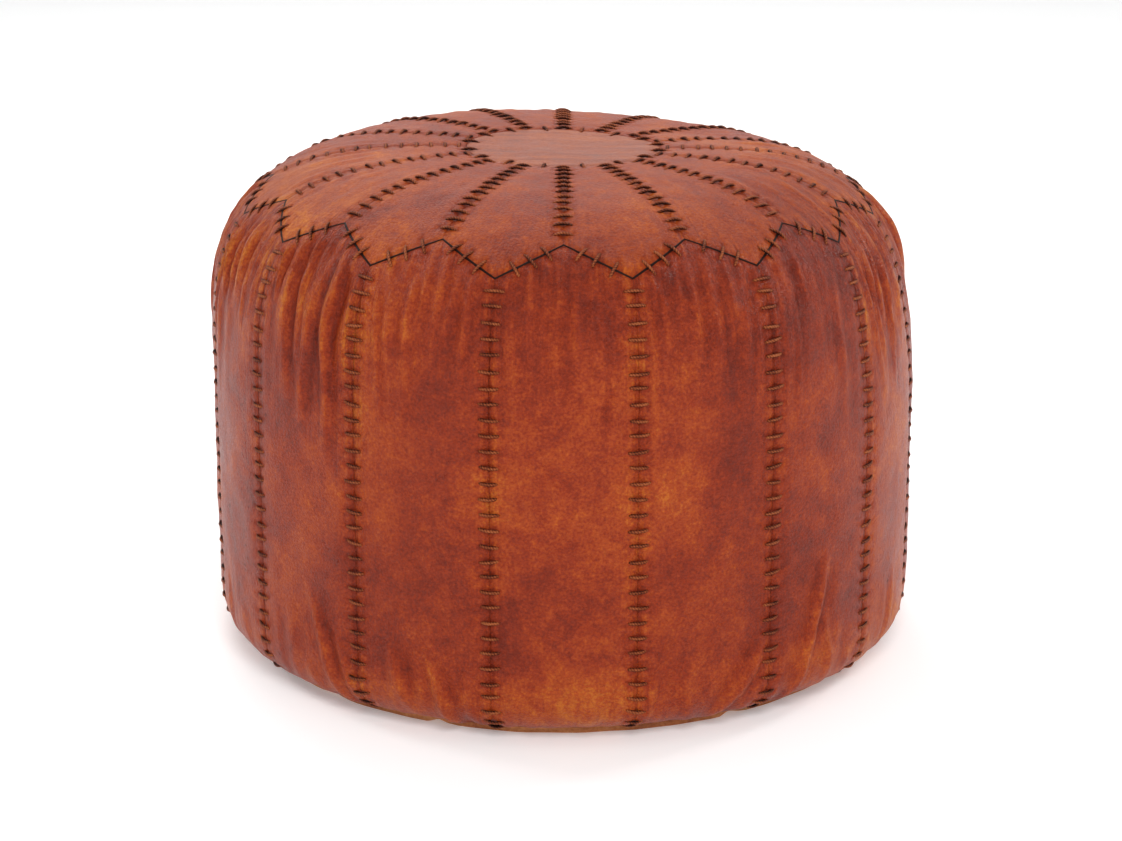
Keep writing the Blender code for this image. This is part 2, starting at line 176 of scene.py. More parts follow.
def settled_top(point):
    """A place of the top after someone has sat on it: a little lower behind and to the right."""
    low = smooth_share(point.x, -0.10, 0.10) * smooth_share(point.y, -0.06, 0.10)
    low = (TOP_SETTLES + BACK_RIGHT_SETTLES * low) * smooth_share(point.z, HEIGHT * 0.76, HEIGHT * 0.97)
    inward = RIGHT_SHOULDER_IN * smooth_share(point.x, 0.14, 0.24)
    inward *= smooth_share(point.z, HEIGHT * 0.52, HEIGHT * 0.80)
    return Vector((point.x - inward, point.y, point.z - low))


def on_cover(azimuth, down, lift=0.0):
    """A point on the outside of the cover, and the outward direction there."""
    angle = angle_at(down)
    flat = section_normal(angle)
    point = section_point(angle) + flat * lift
    outward = Vector((flat.x * math.sin(azimuth), -flat.x * math.cos(azimuth), flat.y))
    place = Vector((point.x * math.sin(azimuth), -point.x * math.cos(azimuth), point.y))
    return settled_top(place), outward


print(f"Leather from the middle of the top to the floor: {WALK_LENGTHS[-1]:.3f} m")

# %% [markdown]
# The seams are found from the boxes of the CAD pieces. The disc ends at its own radius, the side panels
# peak at the top of their box, and the petals reach down to the bottom of theirs. Between a peak and
# a valley the seam runs straight in lengths along the leather, which gives the zigzag.

# %% Where the seams run
LEATHER = 0.0020
SEAM_GAP = 0.0006
DISC_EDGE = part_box("top_disc")[1].x
PANEL_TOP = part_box("side_panel_01")[1].z
PETAL_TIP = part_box("petal_01")[0].z
PANEL_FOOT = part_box("side_panel_01")[0].z

DISC_DOWN = down_where(lambda point, out: point.x > DISC_EDGE) + SEAM_GAP / 2
PEAK_DOWN = down_where(lambda point, out: point.y < PANEL_TOP) - SEAM_GAP / 2
VALLEY_DOWN = down_where(lambda point, out: point.y - LEATHER * out.y < PETAL_TIP) + SEAM_GAP / 2
FOOT_DOWN = down_where(lambda point, out: point.x < RADIUS * 0.99 and point.y < PANEL_FOOT + 0.0005)
LEG_SLOPE = math.atan2(
    VALLEY_DOWN - PEAK_DOWN,
    SECTOR / 2 * section_point(angle_at((PEAK_DOWN + VALLEY_DOWN) / 2)).x,
)


def valley_share(azimuth):
    """0 on the azimuth of a peak, 1 on the azimuth of a valley."""
    return abs((azimuth / SECTOR + 0.5) % 1.0 - 0.5) * 2


def zigzag_down(azimuth):
    """How far down the zigzag seam is at an azimuth."""
    return PEAK_DOWN + (VALLEY_DOWN - PEAK_DOWN) * valley_share(azimuth)


print(f"Disc {DISC_DOWN:.4f}, peaks {PEAK_DOWN:.4f} m down")
print(f"Valleys {VALLEY_DOWN:.4f}, foot {FOOT_DOWN:.4f} m down")

# %% [markdown]
# Each piece of leather starts as a net of four-sided cells from create_grid, wrapped onto the half section.
# Its edge rows and columns lie on the seams, so neighbours meet without a gap. Columns and rows stand
# closer together near a seam, where the leather bends most. Every vertex remembers its azimuth, how far
# down the leather it is, and whether it is on a seam, in an attribute called cut. So later steps can ask
# where they are on the cover.

# %% Nets of the petals and side panels
NET_COLUMNS = 28
PETAL_ROWS = 30
PANEL_ROWS = 68
AT_SEAM = 0.4999


def closer_at_ends(share, strength=0.45):
    """Moves an even share towards 0 and 1, so that cells near both ends get smaller."""
    return (1 - strength) * share + strength * (0.5 - 0.5 * math.cos(math.pi * share))


def add_piece(name, bm):
    """A smooth shaded mesh object from a bmesh, linked to the scene."""
    mesh = bpy.data.meshes.new(name)
    bm.to_mesh(mesh)
    bm.free()
    mesh.shade_smooth()
    piece = bpy.data.objects.new(name, mesh)
    bpy.context.scene.collection.objects.link(piece)
    return piece


def face_away(bm, middle):
    """Turns the faces so that they point away from a middle point, or upwards where it is None."""
    bm.normal_update()
    if middle is None:
        total = sum(face.normal.z for face in bm.faces)
    else:
        total = sum(face.normal.dot(face.calc_center_median() - middle) for face in bm.faces)
    if total < 0:
        bmesh.ops.reverse_faces(bm, faces=bm.faces)


def add_net(name, centre, top, bottom, rows):
    """A net one sector wide, from the seam that top(azimuth) gives down to the one that bottom gives."""
    bm = bmesh.new()
    cut = bm.verts.layers.float_vector.new("cut")
    bmesh.ops.create_grid(bm, x_segments=NET_COLUMNS, y_segments=rows, size=1.0)
    for vertex in bm.verts:
        across = closer_at_ends((vertex.co.x + 1) / 2) - 0.5
        row = round((1 - vertex.co.y) / 2 * rows)
        azimuth = centre + across * SECTOR
        high = top(azimuth)
        down = high + (bottom(azimuth) - high) * closer_at_ends(row / rows)
        at_edge = abs(across) > AT_SEAM or row in (0, rows)
        vertex[cut] = (azimuth, down, 1.0 if at_edge else 0.0)
        vertex.co = on_cover(azimuth, down)[0]
    face_away(bm, Vector((0, 0, WIDEST_HEIGHT)))
    return add_piece(name, bm)


petals = []
side_panels = []
for number in range(1, SECTORS + 1):
    middle = (number - 0.5) * SECTOR
    petals.append(
        add_net(f"petal_leather_{number:02d}", middle, lambda azimuth: DISC_DOWN, zigzag_down, PETAL_ROWS)
    )
    middle = (number - 1) * SECTOR
    side_panels.append(
        add_net(f"side_leather_{number:02d}", middle, zigzag_down, lambda azimuth: FOOT_DOWN, PANEL_ROWS)
    )
print(len(petals), "petals and", len(side_panels), "side panels, with",
      sum(len(piece.data.vertices) for piece in petals + side_panels), "vertices")

# %% [markdown]
# The filling pushes the leather out between its seams. Blender's Cloth with some pressure does the same,
# and the seams are pinned, as the cord holds them. A shape key tells the cloth how big the leather was when
# it lay flat on the bench. Hand-cut panels are always a little too wide near the shoulder, so there the
# flat shape is wider than the place it is sewn into, and the cloth has to find room for the spare width.

# %% Flat shapes, a little too wide at the shoulder
SLACK_REACH = 0.085
PETAL_SPARE = 0.010
LEAST_SPARE = 0.004
FULLEST_SPARE = 0.100
FULLEST_PANELS = (4, 5, 6, 13, 14, 15)
SPARE_LENGTH = 1.004


def spare_width(piece_kind, number, below):
    """Spare width of a piece as a share, by how far it is below its upper seam."""
    if piece_kind == "petal":
        return PETAL_SPARE
    wanted = random.Random(number * 7 + 3).uniform(0.03, 0.06)
    if number in FULLEST_PANELS:
        wanted = FULLEST_SPARE
    return LEAST_SPARE + wanted * math.exp(-((below / SLACK_REACH) ** 2))


def cut_size(piece, flat):
    """Width, length and area of a piece as it lies flat, before it is sewn or pressed."""
    width = max(point.co.x for point in flat.data) - min(point.co.x for point in flat.data)
    length = max(point.co.y for point in flat.data) - min(point.co.y for point in flat.data)
    area = 0.0
    for face in piece.data.polygons:
        corners = [flat.data[index].co for index in face.vertices]
        pairs = zip(corners, corners[1:] + corners[:1])
        area += abs(sum(one.x * two.y - two.x * one.y for one, two in pairs)) / 2
    return width, length, area


def add_flat_shape(piece, piece_kind, number, centre, top):
    """Shape keys for the cloth: the sewn shape, and the flat one that gives each cell its own size."""
    piece.shape_key_add(name="Sewn")
    flat = piece.shape_key_add(name="Flat")
    for point, cut in zip(flat.data, piece.data.attributes["cut"].data):
        azimuth, down, _ = cut.vector
        below = down - top(azimuth)
        wide = section_point(angle_at(down)).x * (azimuth - centre)
        long = -down * SPARE_LENGTH
        point.co = (wide * (1 + spare_width(piece_kind, number, below)), long, 0.0)
    seams = piece.vertex_groups.new(name="seams")
    held = [i for i, cut in enumerate(piece.data.attributes["cut"].data) if cut.vector[2] > 0.5]
    seams.add(held, 1.0, "REPLACE")
    return flat


def add_cloth(piece, flat):
    """Cloth that is pinned at the seams, pressed from inside, and as big as its flat shape."""
    cloth = piece.modifiers.new("Filling", "CLOTH")
    cloth.settings.quality = 6
    cloth.settings.mass = 0.002
    cloth.settings.tension_stiffness = 5
    cloth.settings.compression_stiffness = 5
    cloth.settings.shear_stiffness = 1
    cloth.settings.bending_stiffness = 0.001
    cloth.settings.use_pressure = True
    cloth.settings.uniform_pressure_force = 40
    cloth.settings.vertex_group_mass = "seams"
    cloth.settings.rest_shape_key = flat
    cloth.settings.effector_weights.gravity = 0
    cloth.collision_settings.use_collision = False


for number, piece in enumerate(petals, 1):
    flat = add_flat_shape(piece, "petal", number, (number - 0.5) * SECTOR, lambda azimuth: DISC_DOWN)
    cut_size(piece, flat)
    add_cloth(piece, flat)
for number, piece in enumerate(side_panels, 1):
    flat = add_flat_shape(piece, "side", number, (number - 1) * SECTOR, zigzag_down)
    cut_size(piece, flat)
    add_cloth(piece, flat)
print("Flat shapes ready, the fullest panel", f"{spare_width('side', 4, 0.0):.1%}", "too wide")

# %% [markdown]
# Now the frames are stepped, and each piece's settled points replace its own. No point may move further
# than a few millimetres, which keeps the cushion as round as the frame says. Then the cloth and the shape
# keys are taken away, so the pieces are plain meshes again.

# %% Let the filling settle
MOST_OUT = {"petal": 0.0010, "side": 0.0014}
FRAMES = 20
for number in range(1, FRAMES + 1):
    bpy.context.scene.frame_set(number)
graph = bpy.context.evaluated_depsgraph_get()
furthest = 0.0
total = []
for piece in petals + side_panels:
    settled = [vertex.co.copy() for vertex in piece.evaluated_get(graph).data.vertices]
    piece.modifiers.clear()
    piece.shape_key_clear()
    for vertex, point in zip(piece.data.vertices, settled):
        move = point - vertex.co
        furthest = max(furthest, move.length)
        total.append(move.length)
        most = MOST_OUT[piece.name.split("_")[0]]
        vertex.co += move * min(1.0, most / max(move.length, 1e-9))
bpy.context.scene.frame_set(1)
total.sort()
print(f"The leather moved up to {furthest * 1000:.1f} mm, mostly {total[len(total) // 2] * 1000:.1f} mm")

# %% [markdown]
# The cord is wrapped over the seams in separate short stitches, each as long as a finger is wide. They are
# planned before the leather is finished, because each one presses the leather down. A stitch is named by
# its azimuth, how far down it is, and how much its length is turned away from the direction round the
# cushion. A stitcher is never quite even, so a seeded random number shifts and turns each one a little.

# %% Plan of the stitches
STITCH_LENGTH = 0.0128
STITCH_PITCH = 0.0108
BELOW_VALLEY = 0.0090
ABOVE_FOOT = 0.0035
BEYOND_DISC = 0.0045
SHORT_OF_PEAK = 0.0100
ZIGZAG_SHARES = (0.27, 0.50, 0.73)


def row_of_stitches(start, end):
    """Distances down for stitches that fill a stretch of seam at about the usual pitch."""
    count = round((end - start) / STITCH_PITCH)
    return [start + (end - start) * i / count for i in range(count + 1)]


def stitch_frame(azimuth, down, turn):
    """Where a stitch lies: its middle, the way its length runs, the way the seam runs, and outwards."""
    middle, outward = on_cover(azimuth, down)
    around = Vector((math.cos(azimuth), math.sin(azimuth), 0.0))
    length = around * math.cos(turn) + around.cross(outward) * math.sin(turn)
    return middle, length, outward.cross(length), outward


def plan_stitches():
    """For each piece of thread, the frames of its stitches."""
    hand = random.Random(11)
    plan = {"crown_thread": [], "zigzag_thread": []}

    def add(thread, azimuth, down, turn):
        radius = section_point(angle_at(down)).x
        azimuth += hand.gauss(0, 0.0003) / radius
        plan[thread].append(
            stitch_frame(azimuth, down + hand.gauss(0, 0.0005), turn + hand.gauss(0, 0.05))
        )

    for number in range(1, SECTORS + 1):
        seam = (number - 0.5) * SECTOR
        name = f"side_thread_{number:02d}"
        plan[name] = []
        for down in row_of_stitches(VALLEY_DOWN + BELOW_VALLEY, FOOT_DOWN - ABOVE_FOOT):
            add(name, seam, down, 0.0)
        add("crown_thread", seam, DISC_DOWN, math.pi / 2)
        for down in row_of_stitches(DISC_DOWN + BEYOND_DISC, PEAK_DOWN - SHORT_OF_PEAK):
            add("crown_thread", number * SECTOR, down, 0.0)
        for side in (-1, 1):
            for share in ZIGZAG_SHARES:
                azimuth = number * SECTOR + side * share * SECTOR / 2
                add("zigzag_thread", azimuth, zigzag_down(azimuth), math.pi / 2 + side * LEG_SLOPE)
    return plan


STITCH_PLAN = plan_stitches()
ALL_STITCHES = [stitch for stitches in STITCH_PLAN.values() for stitch in stitches]
STITCH_TREE = KDTree(len(ALL_STITCHES))
for index, stitch in enumerate(ALL_STITCHES):
    STITCH_TREE.insert(stitch[0], index)
STITCH_TREE.balance()
print(len(ALL_STITCHES), "stitches planned,", len(STITCH_PLAN["side_thread_01"]), "on each side seam")

# %% [markdown]
# Leather shows its life in folds. Long ones run down from the shoulder of the fullest panels, short puckers
# hang from the zigzag, and a few gathers stand at the foot, where the panels turn in under the cushion.
# The cloth can't be asked for one exact fold, so these are strokes, like the ones of a sculpting brush.
# Each has a place across and down its piece, a lean, a length, a width and a height.

# %% Folds and puckers as strokes
def stroke(across, start, length, width, height, lean=0.0):
    """One fold: a ridge with a trough beside it, in metres across the piece and below its upper seam."""
    return dict(across=across, start=start, length=length, width=width, height=height, lean=lean)


def stroke_height(fold, across, below, seed):
    """How far a fold lifts the leather at a place."""
    along = (below - fold["start"]) / fold["length"]
    if not 0.0 < along < 1.0:
        return 0.0
    drift = fold["lean"] * (below - fold["start"])
    drift += noise.noise((below * 22.0, seed, fold["across"] * 50)) * fold["width"] * 0.8
    offset = (across - fold["across"] - drift) / fold["width"]
    if abs(offset) > 3.5:
        return 0.0
    ridge = math.exp(-(offset**2)) - 0.62 * math.exp(-((offset - 1.7) ** 2) / 1.3)
    ridge -= 0.3 * math.exp(-((offset + 1.9) ** 2))
    return fold["height"] * ridge * math.sin(math.pi * along**0.7) ** 1.2


USUAL_FULLNESS = 0.45
FULLNESS = {4: 1.0, 5: 1.0, 6: 0.5, 9: 0.7, 10: 0.5, 13: 0.9, 14: 1.0, 15: 1.0, 16: 0.35}
PETAL_FULLNESS = {3: 1.1, 4: 1.4, 5: 1.1, 12: 1.0, 13: 1.2, 14: 0.8}
GATHERS_END = 0.352


def side_folds(number):
    """The folds of one side panel."""
    hand = random.Random(100 + number)
    folds = []
    strong = FULLNESS.get(number, USUAL_FULLNESS)
    for slot in range(9):
        across = (slot - 4) * 0.0098 + hand.uniform(-0.004, 0.004)
        folds.append(
            stroke(
                across,
                hand.uniform(-0.004, 0.020),
                hand.uniform(0.050, 0.150),
                hand.uniform(0.0020, 0.0046),
                hand.uniform(0.0010, 0.0036) * strong,
                hand.uniform(-0.10, 0.10) - across * 1.2,
            )
        )
    for slot in range(9):
        folds.append(
            stroke(
                (slot - 4) * 0.0105 + hand.uniform(-0.003, 0.003),
                hand.uniform(-0.006, 0.002),
                hand.uniform(0.018, 0.045),
                hand.uniform(0.0018, 0.0032),
                hand.uniform(0.0003, 0.0009),
                hand.uniform(-0.3, 0.3),
            )
        )
    for slot in range(5):
        length = hand.uniform(0.030, 0.085)
        folds.append(
            stroke(
                (slot - 2) * 0.018 + hand.uniform(-0.006, 0.006),
                GATHERS_END - length,
                length * 1.12,
                hand.uniform(0.0035, 0.0065),
                hand.uniform(0.0004, 0.0013),
                hand.uniform(-0.25, 0.25),
            )
        )
    return folds


def petal_folds(number):
    """The folds of one petal: soft ones that run towards its tip."""
    hand = random.Random(300 + number)
    strong = PETAL_FULLNESS.get(number, USUAL_FULLNESS)
    folds = []
    for slot in range(6):
        folds.append(
            stroke(
                (slot - 2.5) * 0.012 + hand.uniform(-0.004, 0.004),
                hand.uniform(0.050, 0.105),
                hand.uniform(0.045, 0.095),
                hand.uniform(0.0028, 0.0050),
                hand.uniform(0.0003, 0.0010) * strong,
                hand.uniform(-0.1, 0.1) + (slot - 2.5) * 0.10,
            )
        )
    return folds


EXTRA_FOLDS = {
    1: [
        stroke(0.033, 0.080, 0.050, 0.0028, -0.0011, -0.16),
        stroke(-0.018, 0.145, 0.030, 0.0030, 0.0007, 0.5),
    ],
    2: [
        stroke(0.046, 0.262, 0.105, 0.0042, 0.0034, -0.42),
        stroke(-0.020, 0.300, 0.060, 0.0045, 0.0018, 0.3),
    ],
    3: [stroke(0.004, 0.240, 0.110, 0.0046, 0.0026, -0.30)],
    15: [stroke(0.010, 0.262, 0.095, 0.0050, 0.0026, 0.30)],
    16: [
        stroke(0.006, 0.292, 0.075, 0.0048, 0.0030, 0.25),
        stroke(-0.026, 0.275, 0.085, 0.0040, 0.0020, 0.3),
    ],
}
print("Side panel 4 has", len(side_folds(4)), "folds, petal 4 has", len(petal_folds(4)))

# %% [markdown]
# Now each net gets one level of subdivision and is carved. The edge of the leather rolls in towards its
# seam. Each stitch presses a short channel into it, with a small pit at both ends where the cord goes
# through. Between two stitches the leather swells a little. The folds are added on top, and last some soft
# unevenness from the filling. Five attributes are left for the material: how near the seam a place is, how
# far it is lifted, which also paints highlight and shade, how dark its hide is, with a painted shade on two
# side panels, how much wax and painted shade lie round the stitches, and how creased its grain is.

# %% Carve the leather
SEAM_DEPTH = 0.0010
SEAM_WIDTH = 0.0030
STITCH_REACH = 0.016
CHANNEL_DEPTH = 0.00050
PIT_DEPTH = 0.00060
SWELL = 0.00045


def press_of_stitches(point, near_seam):
    """How far the nearest stitches push the leather in, and a ring of wax and painted shade round them."""
    press = 0.0
    stain = 0.0
    for middle, index, far in STITCH_TREE.find_n(point, 2):
        if far > STITCH_REACH:
            continue
        _, length, seam, outward = ALL_STITCHES[index]
        along = abs((point - middle).dot(length))
        aside = (point - middle).dot(seam)
        channel = math.exp(-((aside / 0.0020) ** 2))
        channel *= math.exp(-((max(along - 0.0050, 0.0) / 0.0042) ** 2))
        pit = math.exp(-((along - 0.0066) ** 2 + aside**2) / 0.0019**2)
        press = max(press, CHANNEL_DEPTH * channel + PIT_DEPTH * pit)
        # A dark ring round each stitch end: partly wax, partly a painted shade where the cord shades the
        # leather.
        stain = max(stain, math.exp(-(max(along - 0.0064, 0.0) ** 2 + aside**2) / 0.0015**2))
    return press - SWELL * math.exp(-((near_seam / 0.0065) ** 2)), stain


def crease_of(kind, number, below, seam, end):
    """How creased the grain is: most at the shoulder of the fullest panels, near seams and at the foot."""
    shoulder = math.exp(-((below / 0.110) ** 2)) if kind == "side" else smooth_share(below, 0.06, 0.15)
    full = FULLNESS.get(number, USUAL_FULLNESS)
    if kind == "petal":
        full = PETAL_FULLNESS.get(number, USUAL_FULLNESS) * 0.5
    foot = 0.55 * math.exp(-((end / 0.045) ** 2)) if kind == "side" else 0.0
    return min(1.0, shoulder * full + 0.35 * math.exp(-((seam / 0.010) ** 2)) + foot)


def seam_distance(kind, azimuth, down):
    """Distance of a place from the nearest seam or edge of its own piece."""
    radius = section_point(angle_at(down)).x
    zigzag = abs(down - zigzag_down(azimuth)) * math.cos(LEG_SLOPE)
    if kind == "side":
        return min(zigzag, (1 - valley_share(azimuth)) * SECTOR / 2 * radius), FOOT_DOWN - down
    return min(zigzag, valley_share(azimuth) * SECTOR / 2 * radius), down - DISC_DOWN


FOOT_FULLNESS = 0.0028
# Each lifted place of the lower edge: its azimuth, its width in radians, and its height in metres.
LIFTED_EDGES = [
    (-0.80, 0.030, 0.0022),
    (-0.392, 0.020, 0.0042),
    (0.548, 0.022, 0.0036),
    (2.3, 0.03, 0.003),
]


def edge_rise(azimuth):
    """How far the lower edge of the cover is pulled up off its circle at an azimuth."""
    rise = 0.0
    for middle, width, height in LIFTED_EDGES:
        apart = (azimuth - middle + math.pi) % math.tau - math.pi
        rise = max(rise, height * math.exp(-((apart / width) ** 2)))
    return rise


def refined(piece):
    """The piece's mesh with one level of subdivision, kept as a plain mesh."""
    finer = piece.modifiers.new("Finer", "SUBSURF")
    finer.levels = 1
    finer.render_levels = 1
    finer.boundary_smooth = "PRESERVE_CORNERS"
    graph = bpy.context.evaluated_depsgraph_get()
    mesh = bpy.data.meshes.new_from_object(piece.evaluated_get(graph))
    piece.modifiers.remove(finer)
    piece.data = mesh


NOTES = ("near_seam", "lift", "tone", "stain", "crease")
# Two side panels are pushed darker in tone: a painted shade on the panels turned to the sides, not darker
# hides.
PANELS_WITH_PAINTED_SHADE = {3: -2.6, 15: -1.8}


def thicken(piece, thickness):
    """Gives a sheet of leather its wall, on the inside."""
    wall = piece.modifiers.new("Leather", "SOLIDIFY")
    wall.thickness = thickness
    wall.offset = -1


def carve(piece, kind, number, centre):
    """Carves one petal or side panel."""
    refined(piece)
    mesh = piece.data
    folds = side_folds(number) + EXTRA_FOLDS.get(number, []) if kind == "side" else petal_folds(number)
    for note in NOTES:
        mesh.attributes.new(note, "FLOAT", "POINT")
    near, lift, tone, stain, crease = (mesh.attributes[note].data for note in NOTES)
    shade = random.Random(number * 31 + len(kind)).uniform(-1.0, 1.0)
    if kind == "side":
        shade = PANELS_WITH_PAINTED_SHADE.get(number, shade)
    for vertex, cut in zip(mesh.vertices, mesh.attributes["cut"].data):
        azimuth, down, _ = cut.vector
        outward = on_cover(azimuth, down)[1]
        seam, end = seam_distance(kind, azimuth, down)
        free = 1 - math.exp(-((min(seam, end) / 0.010) ** 2))
        top = zigzag_down(azimuth) if kind == "side" else DISC_DOWN
        across = (azimuth - centre) * section_point(angle_at(down)).x
        fold = sum(stroke_height(one, across, down - top, number) for one in folds)
        fold *= 1 - math.exp(-((seam / 0.006) ** 2))
        height = fold - SEAM_DEPTH * math.exp(-((seam / SEAM_WIDTH) ** 2))
        if kind == "petal":
            height -= 0.0009 * math.exp(-((end / SEAM_WIDTH) ** 2))
        press, stitch_wax_and_shade = press_of_stitches(vertex.co, min(seam, abs(end)))
        height -= press
        stain[vertex.index].value = stitch_wax_and_shade
        crease[vertex.index].value = crease_of(kind, number, down - top, seam, end)
        height += 0.0008 * free * noise.noise(vertex.co * 26 + Vector((number, 0, 0)))
        if kind == "side":
            height += FOOT_FULLNESS * math.exp(-(((end - 0.034) / 0.022) ** 2))
        height += 0.0005 * free * noise.noise(vertex.co * 70)
        near[vertex.index].value = math.exp(-((seam / 0.011) ** 2))
        lift[vertex.index].value = min(max(height / 0.002, -1.0), 1.0)
        tone[vertex.index].value = shade
        if kind == "side" and end < 0.05:
            rise = edge_rise(azimuth) * math.exp(-((end / 0.016) ** 2))
            vertex.co += on_cover(azimuth, down - rise)[0] - on_cover(azimuth, down)[0]
        vertex.co += outward * height
    thicken(piece, LEATHER)
    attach(piece, "cover")


for number, piece in enumerate(petals, 1):
    carve(piece, "petal", number, (number - 0.5) * SECTOR)
    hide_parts(f"petal_{number:02d}")
for number, piece in enumerate(side_panels, 1):
    carve(piece, "side", number, (number - 1) * SECTOR)
    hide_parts(f"side_panel_{number:02d}")
print("Carved", sum(len(piece.data.polygons) for piece in petals + side_panels), "faces of leather")

# %% [markdown]
# The disc in the middle of the top is one round piece of leather. A row of points from the middle to the
# edge is spun once round, the last step is merged with the first, and the many points at the pole are
# merged to one. It is carved like the petals: the edge rolls in, the sixteen stitches press it, and the
# filling makes it a little uneven.

# %% The top disc
def add_disc():
    """The round piece in the middle of the top."""
    bm = bmesh.new()
    rings = 36
    out = [DISC_EDGE * math.sin(math.pi / 2 * ring / rings) for ring in range(rings + 1)]
    line = [bm.verts.new((radius, 0.0, 0.0)) for radius in out]
    edges = [bm.edges.new(pair) for pair in zip(line, line[1:])]
    bmesh.ops.spin(
        bm, geom=line + edges, cent=(0, 0, 0), axis=(0, 0, 1), angle=math.tau, steps=240, use_merge=True
    )
    bmesh.ops.remove_doubles(bm, verts=bm.verts, dist=1e-6)
    for vertex in bm.verts:
        radius = vertex.co.xy.length
        angle = math.acos(min(radius / RADIUS, 1.0) ** (SHOULDER_SQUARENESS / 2))
        height = section_point(angle).y
        point = settled_top(Vector((vertex.co.x, vertex.co.y, height)))
        seam = DISC_EDGE - radius
        low = SEAM_DEPTH * math.exp(-((seam / SEAM_WIDTH) ** 2)) + press_of_stitches(point, seam)[0]
        uneven = 0.0012 * noise.noise(point * 24) + 0.0004 * noise.noise(point * 75)
        free = 1 - math.exp(-((seam / 0.012) ** 2))
        vertex.co = point + Vector((0, 0, uneven * free - low))
    bmesh.ops.recalc_face_normals(bm, faces=bm.faces)
    face_away(bm, None)
    disc = add_piece("disc_leather", bm)
    for note in NOTES:
        disc.data.attributes.new(note, "FLOAT", "POINT")
    near, stain = (disc.data.attributes[note].data for note in ("near_seam", "stain"))
    for vertex in disc.data.vertices:
        near[vertex.index].value = math.exp(-(((DISC_EDGE - vertex.co.xy.length) / 0.011) ** 2))
        stain[vertex.index].value = press_of_stitches(vertex.co, 1.0)[1]
    thicken(disc, LEATHER)
    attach(disc, "cover")
    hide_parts("top_disc")
    return disc


disc = add_disc()
print("Disc:", len(disc.data.polygons), "faces")

# %% [markdown]
# One stitch is a short arc of cord whose ends dive into the leather. A circle is spun through a part of
# a turn, so it keeps the same thickness all along. The same stitch is then copied several hundred times,
# so it has only a few dozen faces. Its own UV map runs along and round the cord, for the twist of the
# strands in the material.

# %% One stitch
CORD_RADIUS = 0.00118
ARC_RADIUS = 0.0125
ARC_HALF = math.radians(34)
ARC_STEPS = 8
CORD_SIDES = 7


def wrap_uv(bm, along_of, around_of):
    """A UV map on a tube: along it in lengths of one twist, and round it in turns."""
    uv = bm.loops.layers.uv.new("Twist")
    for face in bm.faces:
        turns = [around_of(loop.vert.co) % 1.0 for loop in face.loops]
        crosses = max(turns) - min(turns) > 0.5
        for loop, turn in zip(face.loops, turns):
            loop[uv].uv = (along_of(loop.vert.co), turn + 1.0 if crosses and turn < 0.5 else turn)


def make_stitch():
    """One stitch along X, with its middle over the origin and Z outwards."""
    bm = bmesh.new()
    ring = bmesh.ops.create_circle(bm, cap_ends=False, radius=CORD_RADIUS, segments=CORD_SIDES)["verts"]
    bmesh.ops.rotate(bm, verts=ring, cent=(0, 0, 0), matrix=Matrix.Rotation(math.pi / 2, 3, "Y"))
    bmesh.ops.translate(bm, verts=ring, vec=(0, 0, ARC_RADIUS))
    bmesh.ops.rotate(bm, verts=ring, cent=(0, 0, 0), matrix=Matrix.Rotation(-ARC_HALF, 3, "Y"))
    bmesh.ops.spin(
        bm,
        geom=bm.verts[:] + bm.edges[:],
        cent=(0, 0, 0),
        axis=(0, 1, 0),
        angle=2 * ARC_HALF,
        steps=ARC_STEPS,
    )
    bmesh.ops.holes_fill(bm, edges=[edge for edge in bm.edges if edge.is_boundary], sides=0)
    bmesh.ops.recalc_face_normals(bm, faces=bm.faces)
    wrap_uv(
        bm,
        lambda point: math.atan2(point.x, point.z) * ARC_RADIUS / 0.0042,
        lambda point: math.atan2(point.y, math.hypot(point.x, point.z) - ARC_RADIUS) / math.tau,
    )
    bmesh.ops.translate(bm, verts=bm.verts, vec=(0, 0, -ARC_RADIUS))
    mesh = bpy.data.meshes.new("stitch")
    bm.to_mesh(mesh)
    bm.free()
    return mesh


one_stitch = make_stitch()
ARC_RISE = ARC_RADIUS * (1 - math.cos(ARC_HALF))
print("One stitch has", len(one_stitch.polygons), "faces and rises", f"{ARC_RISE * 1000:.1f} mm")

# %% [markdown]
# Each stitch is laid on the leather as it really is now, folds and all. Two rays are cast down at its ends
# to find the surface, and the stitch is placed on the line between the two hits, so both ends go in and
# the middle bridges the seam. Under the stitches a thin cord runs along the seam itself and closes it. It
# is thicker in the zigzag, where the seam shows most.

# %% Stitch all the seams
def leather_surface():
    """A search tree of the outside of all the leather."""
    bm = bmesh.new()
    for piece in petals + side_panels + [disc]:
        bm.from_mesh(piece.data)
    tree = BVHTree.FromBMesh(bm)
    bm.free()
    return tree


SURFACE = leather_surface()
SUNK = 0.00080
SEAM_CORD = (0.0007, -SEAM_DEPTH - 0.0009)
ZIGZAG_CORD = (0.0010, -0.0011)
SPOKE_STEPS = 40
SIDE_STEPS = 90


def surface_under(point, outward):
    """The place on the leather under or over a point."""
    hit = SURFACE.ray_cast(point + outward * 0.02, -outward, 0.04)[0]
    return hit if hit else point


def lay_stitch(bm, stitch, hand):
    """Adds one stitch to bm, across its seam."""
    middle, length, seam, outward = stitch
    half = STITCH_LENGTH / 2 * hand.uniform(0.93, 1.07)
    ends = [surface_under(middle + length * side * half, outward) for side in (-1, 1)]
    run = (ends[1] - ends[0]).normalized()
    up = (outward - run * outward.dot(run)).normalized()
    across = up.cross(run)
    size = half / (ARC_RADIUS * math.sin(ARC_HALF))
    old = len(bm.verts)
    bm.from_mesh(one_stitch)
    bm.verts.ensure_lookup_table()
    place = Matrix((run, across, up)).transposed()
    base = (ends[0] + ends[1]) / 2 + up * (ARC_RISE - SUNK + hand.uniform(-0.00015, 0.00015))
    bend = hand.uniform(-0.9, 0.9)
    for vertex in bm.verts[old:]:
        point = Vector((vertex.co.x * size, vertex.co.y, vertex.co.z))
        point.y += bend * 12 * point.x * abs(point.x)
        vertex.co = place @ point + base


